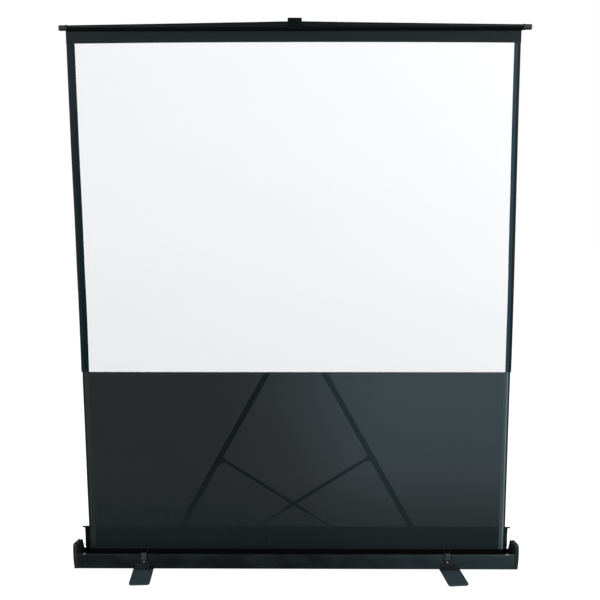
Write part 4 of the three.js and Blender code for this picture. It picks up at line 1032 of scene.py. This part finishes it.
class SCREEN_OT_stage(bpy.types.Operator):
    """Make the floor, the soft studio light and the camera"""

    bl_idname = "screen.stage"
    bl_label = "Stage"

    def execute(self, context):
        light = context.scene.screen_stage
        self.floor(light)
        self.world(light)
        self.lamp("key", (2.9, -3.6, 3.2), (0.1, 0, 1.0), 2.6, light.key)
        self.lamp("fill", (-3.0, -4.2, 2.6), (0, 0, 1.0), 2.6, light.fill)
        self.lamp("back", (0.6, 3.6, 3.2), (0, 0, 1.0), 2.6, light.back)
        self.camera()
        context.scene.view_settings.view_transform = "Standard"
        return {"FINISHED"}

    def floor(self, light):
        reach = 9.0
        corners = [(x * reach, y * reach, 0) for x, y in ((-1, -1), (1, -1), (1, 1), (-1, 1))]
        material = bpy.data.materials.new("studio_floor_white")
        material.use_nodes = True
        tree = material.node_tree
        shader = tree.nodes["Principled BSDF"]
        shader.inputs["Base Color"].default_value = linear("b8b8b8")
        shader.inputs["Roughness"].default_value = 0.9
        # Seen directly, the far floor is lifted to white, and the object's shadow stays as a faint tone
        rays = add_node(tree, "ShaderNodeLightPath")
        reflectance = 0.48
        settings = {"operation": "MULTIPLY", 1: 1 - reflectance * light.ambient}
        lift = add_node(tree, "ShaderNodeMath", settings, {0: rays.outputs["Is Camera Ray"]})
        tree.links.new(lift.outputs[0], shader.inputs["Emission Strength"])
        shader.inputs["Emission Color"].default_value = linear("ffffff")
        mesh = bpy.data.meshes.new("studio_floor")
        mesh.from_pydata(corners, [], [(0, 1, 2, 3)])
        mesh.materials.append(material)
        add_object("studio_floor", mesh)

    def world(self, light):
        world = bpy.data.worlds.new("studio")
        bpy.context.scene.world = world
        world.use_nodes = True
        tree = world.node_tree
        soft = tree.nodes["Background"]
        soft.inputs["Color"].default_value = linear("ffffff")
        soft.inputs["Strength"].default_value = light.ambient
        white = add_node(tree, "ShaderNodeBackground", {"Color": linear("ffffff"), "Strength": 1.0})
        rays = add_node(tree, "ShaderNodeLightPath")
        seen = add_node(tree, "ShaderNodeMath", {"operation": "MAXIMUM"},
                        {0: rays.outputs["Is Camera Ray"], 1: rays.outputs["Is Transmission Ray"]})
        mix = add_node(tree, "ShaderNodeMixShader", None,
                       {0: seen.outputs[0], 1: soft.outputs[0], 2: white.outputs[0]})
        tree.links.new(mix.outputs[0], tree.nodes["World Output"].inputs["Surface"])

    def lamp(self, name, place, target, size, power):
        lamp = bpy.data.lights.new(name, "AREA")
        lamp.shape = "DISK"
        lamp.size = size
        lamp.energy = power
        holder = add_object(name, lamp)
        holder.location = place
        holder.visible_camera = False
        holder.rotation_euler = (Vector(target) - Vector(place)).to_track_quat("-Z", "Y").to_euler()

    def camera(self):
        """Camera of the photograph, placed by its corners: metres, degrees and pixels."""
        place = Vector((0.0436, -3.1485, 1.5235))
        pitch, roll, yaw = (math.radians(a) for a in (7.936, -0.053, 0.46))
        frame_width, focal_length = 600, 824.6
        data = bpy.data.cameras.new("camera")
        data.sensor_width = 36
        data.lens = data.sensor_width * focal_length / frame_width
        data.clip_end = 60
        camera = add_object("camera", data)
        turn = Matrix.Rotation(yaw, 4, "Z") @ Matrix.Rotation(math.pi / 2 - pitch, 4, "X")
        camera.matrix_world = Matrix.Translation(place) @ turn @ Matrix.Rotation(roll, 4, "Z")
        bpy.context.scene.camera = camera


# Settings shown in the sidebar


def length(name, description, default):
    return amount(name, description, default, "LENGTH")


def amount(name, description, default, unit="NONE"):
    return FloatProperty(name=name, description=description, default=default, unit=unit, precision=4)


class ScreenCase(bpy.types.PropertyGroup):
    wall: length("Wall", "Thickness of the extrusion", 0.002)
    lip: length("Lip", "Depth of the lip along the front", 0.012)
    bow: length("Bow", "How far the front bulges forward", 0.0026)
    bulge: length("Bulge", "How far the foot of each cap's outer face lies inward", 0.0035)
    rear_height: length("Rear wall", "Height of the rear wall", 0.040)


class ScreenStrut(bpy.types.PropertyGroup):
    cylinder_radius: length("Cylinder radius", "Outer radius of the cylinder", 0.0065)
    rod_radius: length("Rod radius", "Radius of the piston rod", 0.003)
    eye_radius: length("Eye radius", "Outer radius of the end fittings", 0.007)
    eye_width: length("Eye width", "Width of the end fittings", 0.010)


class ScreenBar(bpy.types.PropertyGroup):
    middle_height: length("Middle height", "Height of the bar in its middle", 0.032)
    end_height: length("End height", "Height of the bar at its ends", 0.019)
    insert_height: length("Insert height", "Height of the insert that grips the cloth", 0.010)
    crown_round: length("Crown rounding", "Rounding of the bar's upper corners", 0.006)
    step: length("Step", "How far the insert is set back under the rail", 0.0022)


class ScreenCloth(bpy.types.PropertyGroup):
    thick: length("Thickness", "Thickness of the cloth", 0.0005)
    layer: length("Layer", "Distance from one layer of cloth to the next", 0.0006)
    left_border: length("Left border", "Width of the black border on the left", 0.0275)
    right_border: length("Right border", "Width of the black border on the right", 0.0215)
    top_border: length("Top border", "Height of the black top border", 0.045)
    overhang: length("Overhang", "How much wider the picture sheet is than the drop, per side", 0.0042)
    seam: length("Seam", "How far the drop reaches up behind the picture sheet", 0.004)
    crown: length("Crown", "How far the picture's top edge rises in the middle", 0.004)
    lean: length("Lean", "How far the top hangs to the left of the foot", 0.0085)
    waist_left: length("Left waist", "How much the drop narrows on the left at its foot", 0.004)
    waist_right: length("Right waist", "How much the drop narrows on the right at its foot", -0.001)
    wave: length("Wave", "Depth of the soft waves", 0.0012)
    wave_length: length("Wave length", "Height of one wave", 0.42)
    hem: length("Hem", "Width of the sealed hem along the side edges of the drop", 0.026)
    curl_width: length("Curl width", "Width of the curled strip along each side edge", 0.014)
    deepest: length("Deepest", "Greatest reach of the cloth to the rear", 0.006)
    curl_left: amount("Left curl", "Turn of the left edge", 0.3, "ROTATION")
    curl_right: amount("Right curl", "Turn of the right edge", 0.7, "ROTATION")


class ScreenStage(bpy.types.PropertyGroup):
    key: amount("Key", "Key lamp", 150, "POWER")
    fill: amount("Fill", "Fill lamp", 108, "POWER")
    back: amount("Back", "Back lamp", 90, "POWER")
    ambient: amount("Ambient", "Strength of the light from all round", 0.22)


class SCREEN_PT_panel(bpy.types.Panel):
    bl_label = "Projector screen"
    bl_idname = "SCREEN_PT_panel"
    bl_space_type = "VIEW_3D"
    bl_region_type = "UI"
    bl_category = "Projector screen"

    def draw(self, context):
        layout = self.layout
        for operator in OPERATORS:
            layout.operator(operator.bl_idname)
        for attribute, group in GROUPS.items():
            box = layout.box()
            for name in group.__annotations__:
                box.prop(getattr(context.scene, attribute), name)


GROUPS = {"screen_case": ScreenCase, "screen_strut": ScreenStrut, "screen_bar": ScreenBar,
          "screen_cloth": ScreenCloth, "screen_stage": ScreenStage}
OPERATORS = (SCREEN_OT_stage, SCREEN_OT_case, SCREEN_OT_lid, SCREEN_OT_latches, SCREEN_OT_feet,
             SCREEN_OT_roller, SCREEN_OT_arms, SCREEN_OT_struts, SCREEN_OT_top_bar, SCREEN_OT_cloth)
CLASSES = (*GROUPS.values(), *OPERATORS, SCREEN_PT_panel)


def register():
    for cls in CLASSES:
        bpy.utils.register_class(cls)
    for attribute, group in GROUPS.items():
        setattr(bpy.types.Scene, attribute, PointerProperty(type=group))


def unregister():
    for attribute in GROUPS:
        delattr(bpy.types.Scene, attribute)
    for cls in reversed(CLASSES):
        bpy.utils.unregister_class(cls)


def finish_left_over_nodes():
    """Nodes that keep their own shape get the material of their slot."""
    for name, node in frame["nodes"].items():
        if not node.hide_render:
            node.data.materials.clear()
            node.data.materials.append(finish(SLOT_OF[name]))
            shade(node, 35)


def main():
    register()
    bpy.ops.screen.stage()
    bpy.ops.screen.case()
    bpy.ops.screen.lid()
    bpy.ops.screen.latches()
    bpy.ops.screen.feet()
    bpy.ops.screen.roller()
    bpy.ops.screen.arms()
    bpy.ops.screen.struts()
    bpy.ops.screen.top_bar()
    bpy.ops.screen.cloth()
    finish_left_over_nodes()


if __name__ == "__main__":
    main()
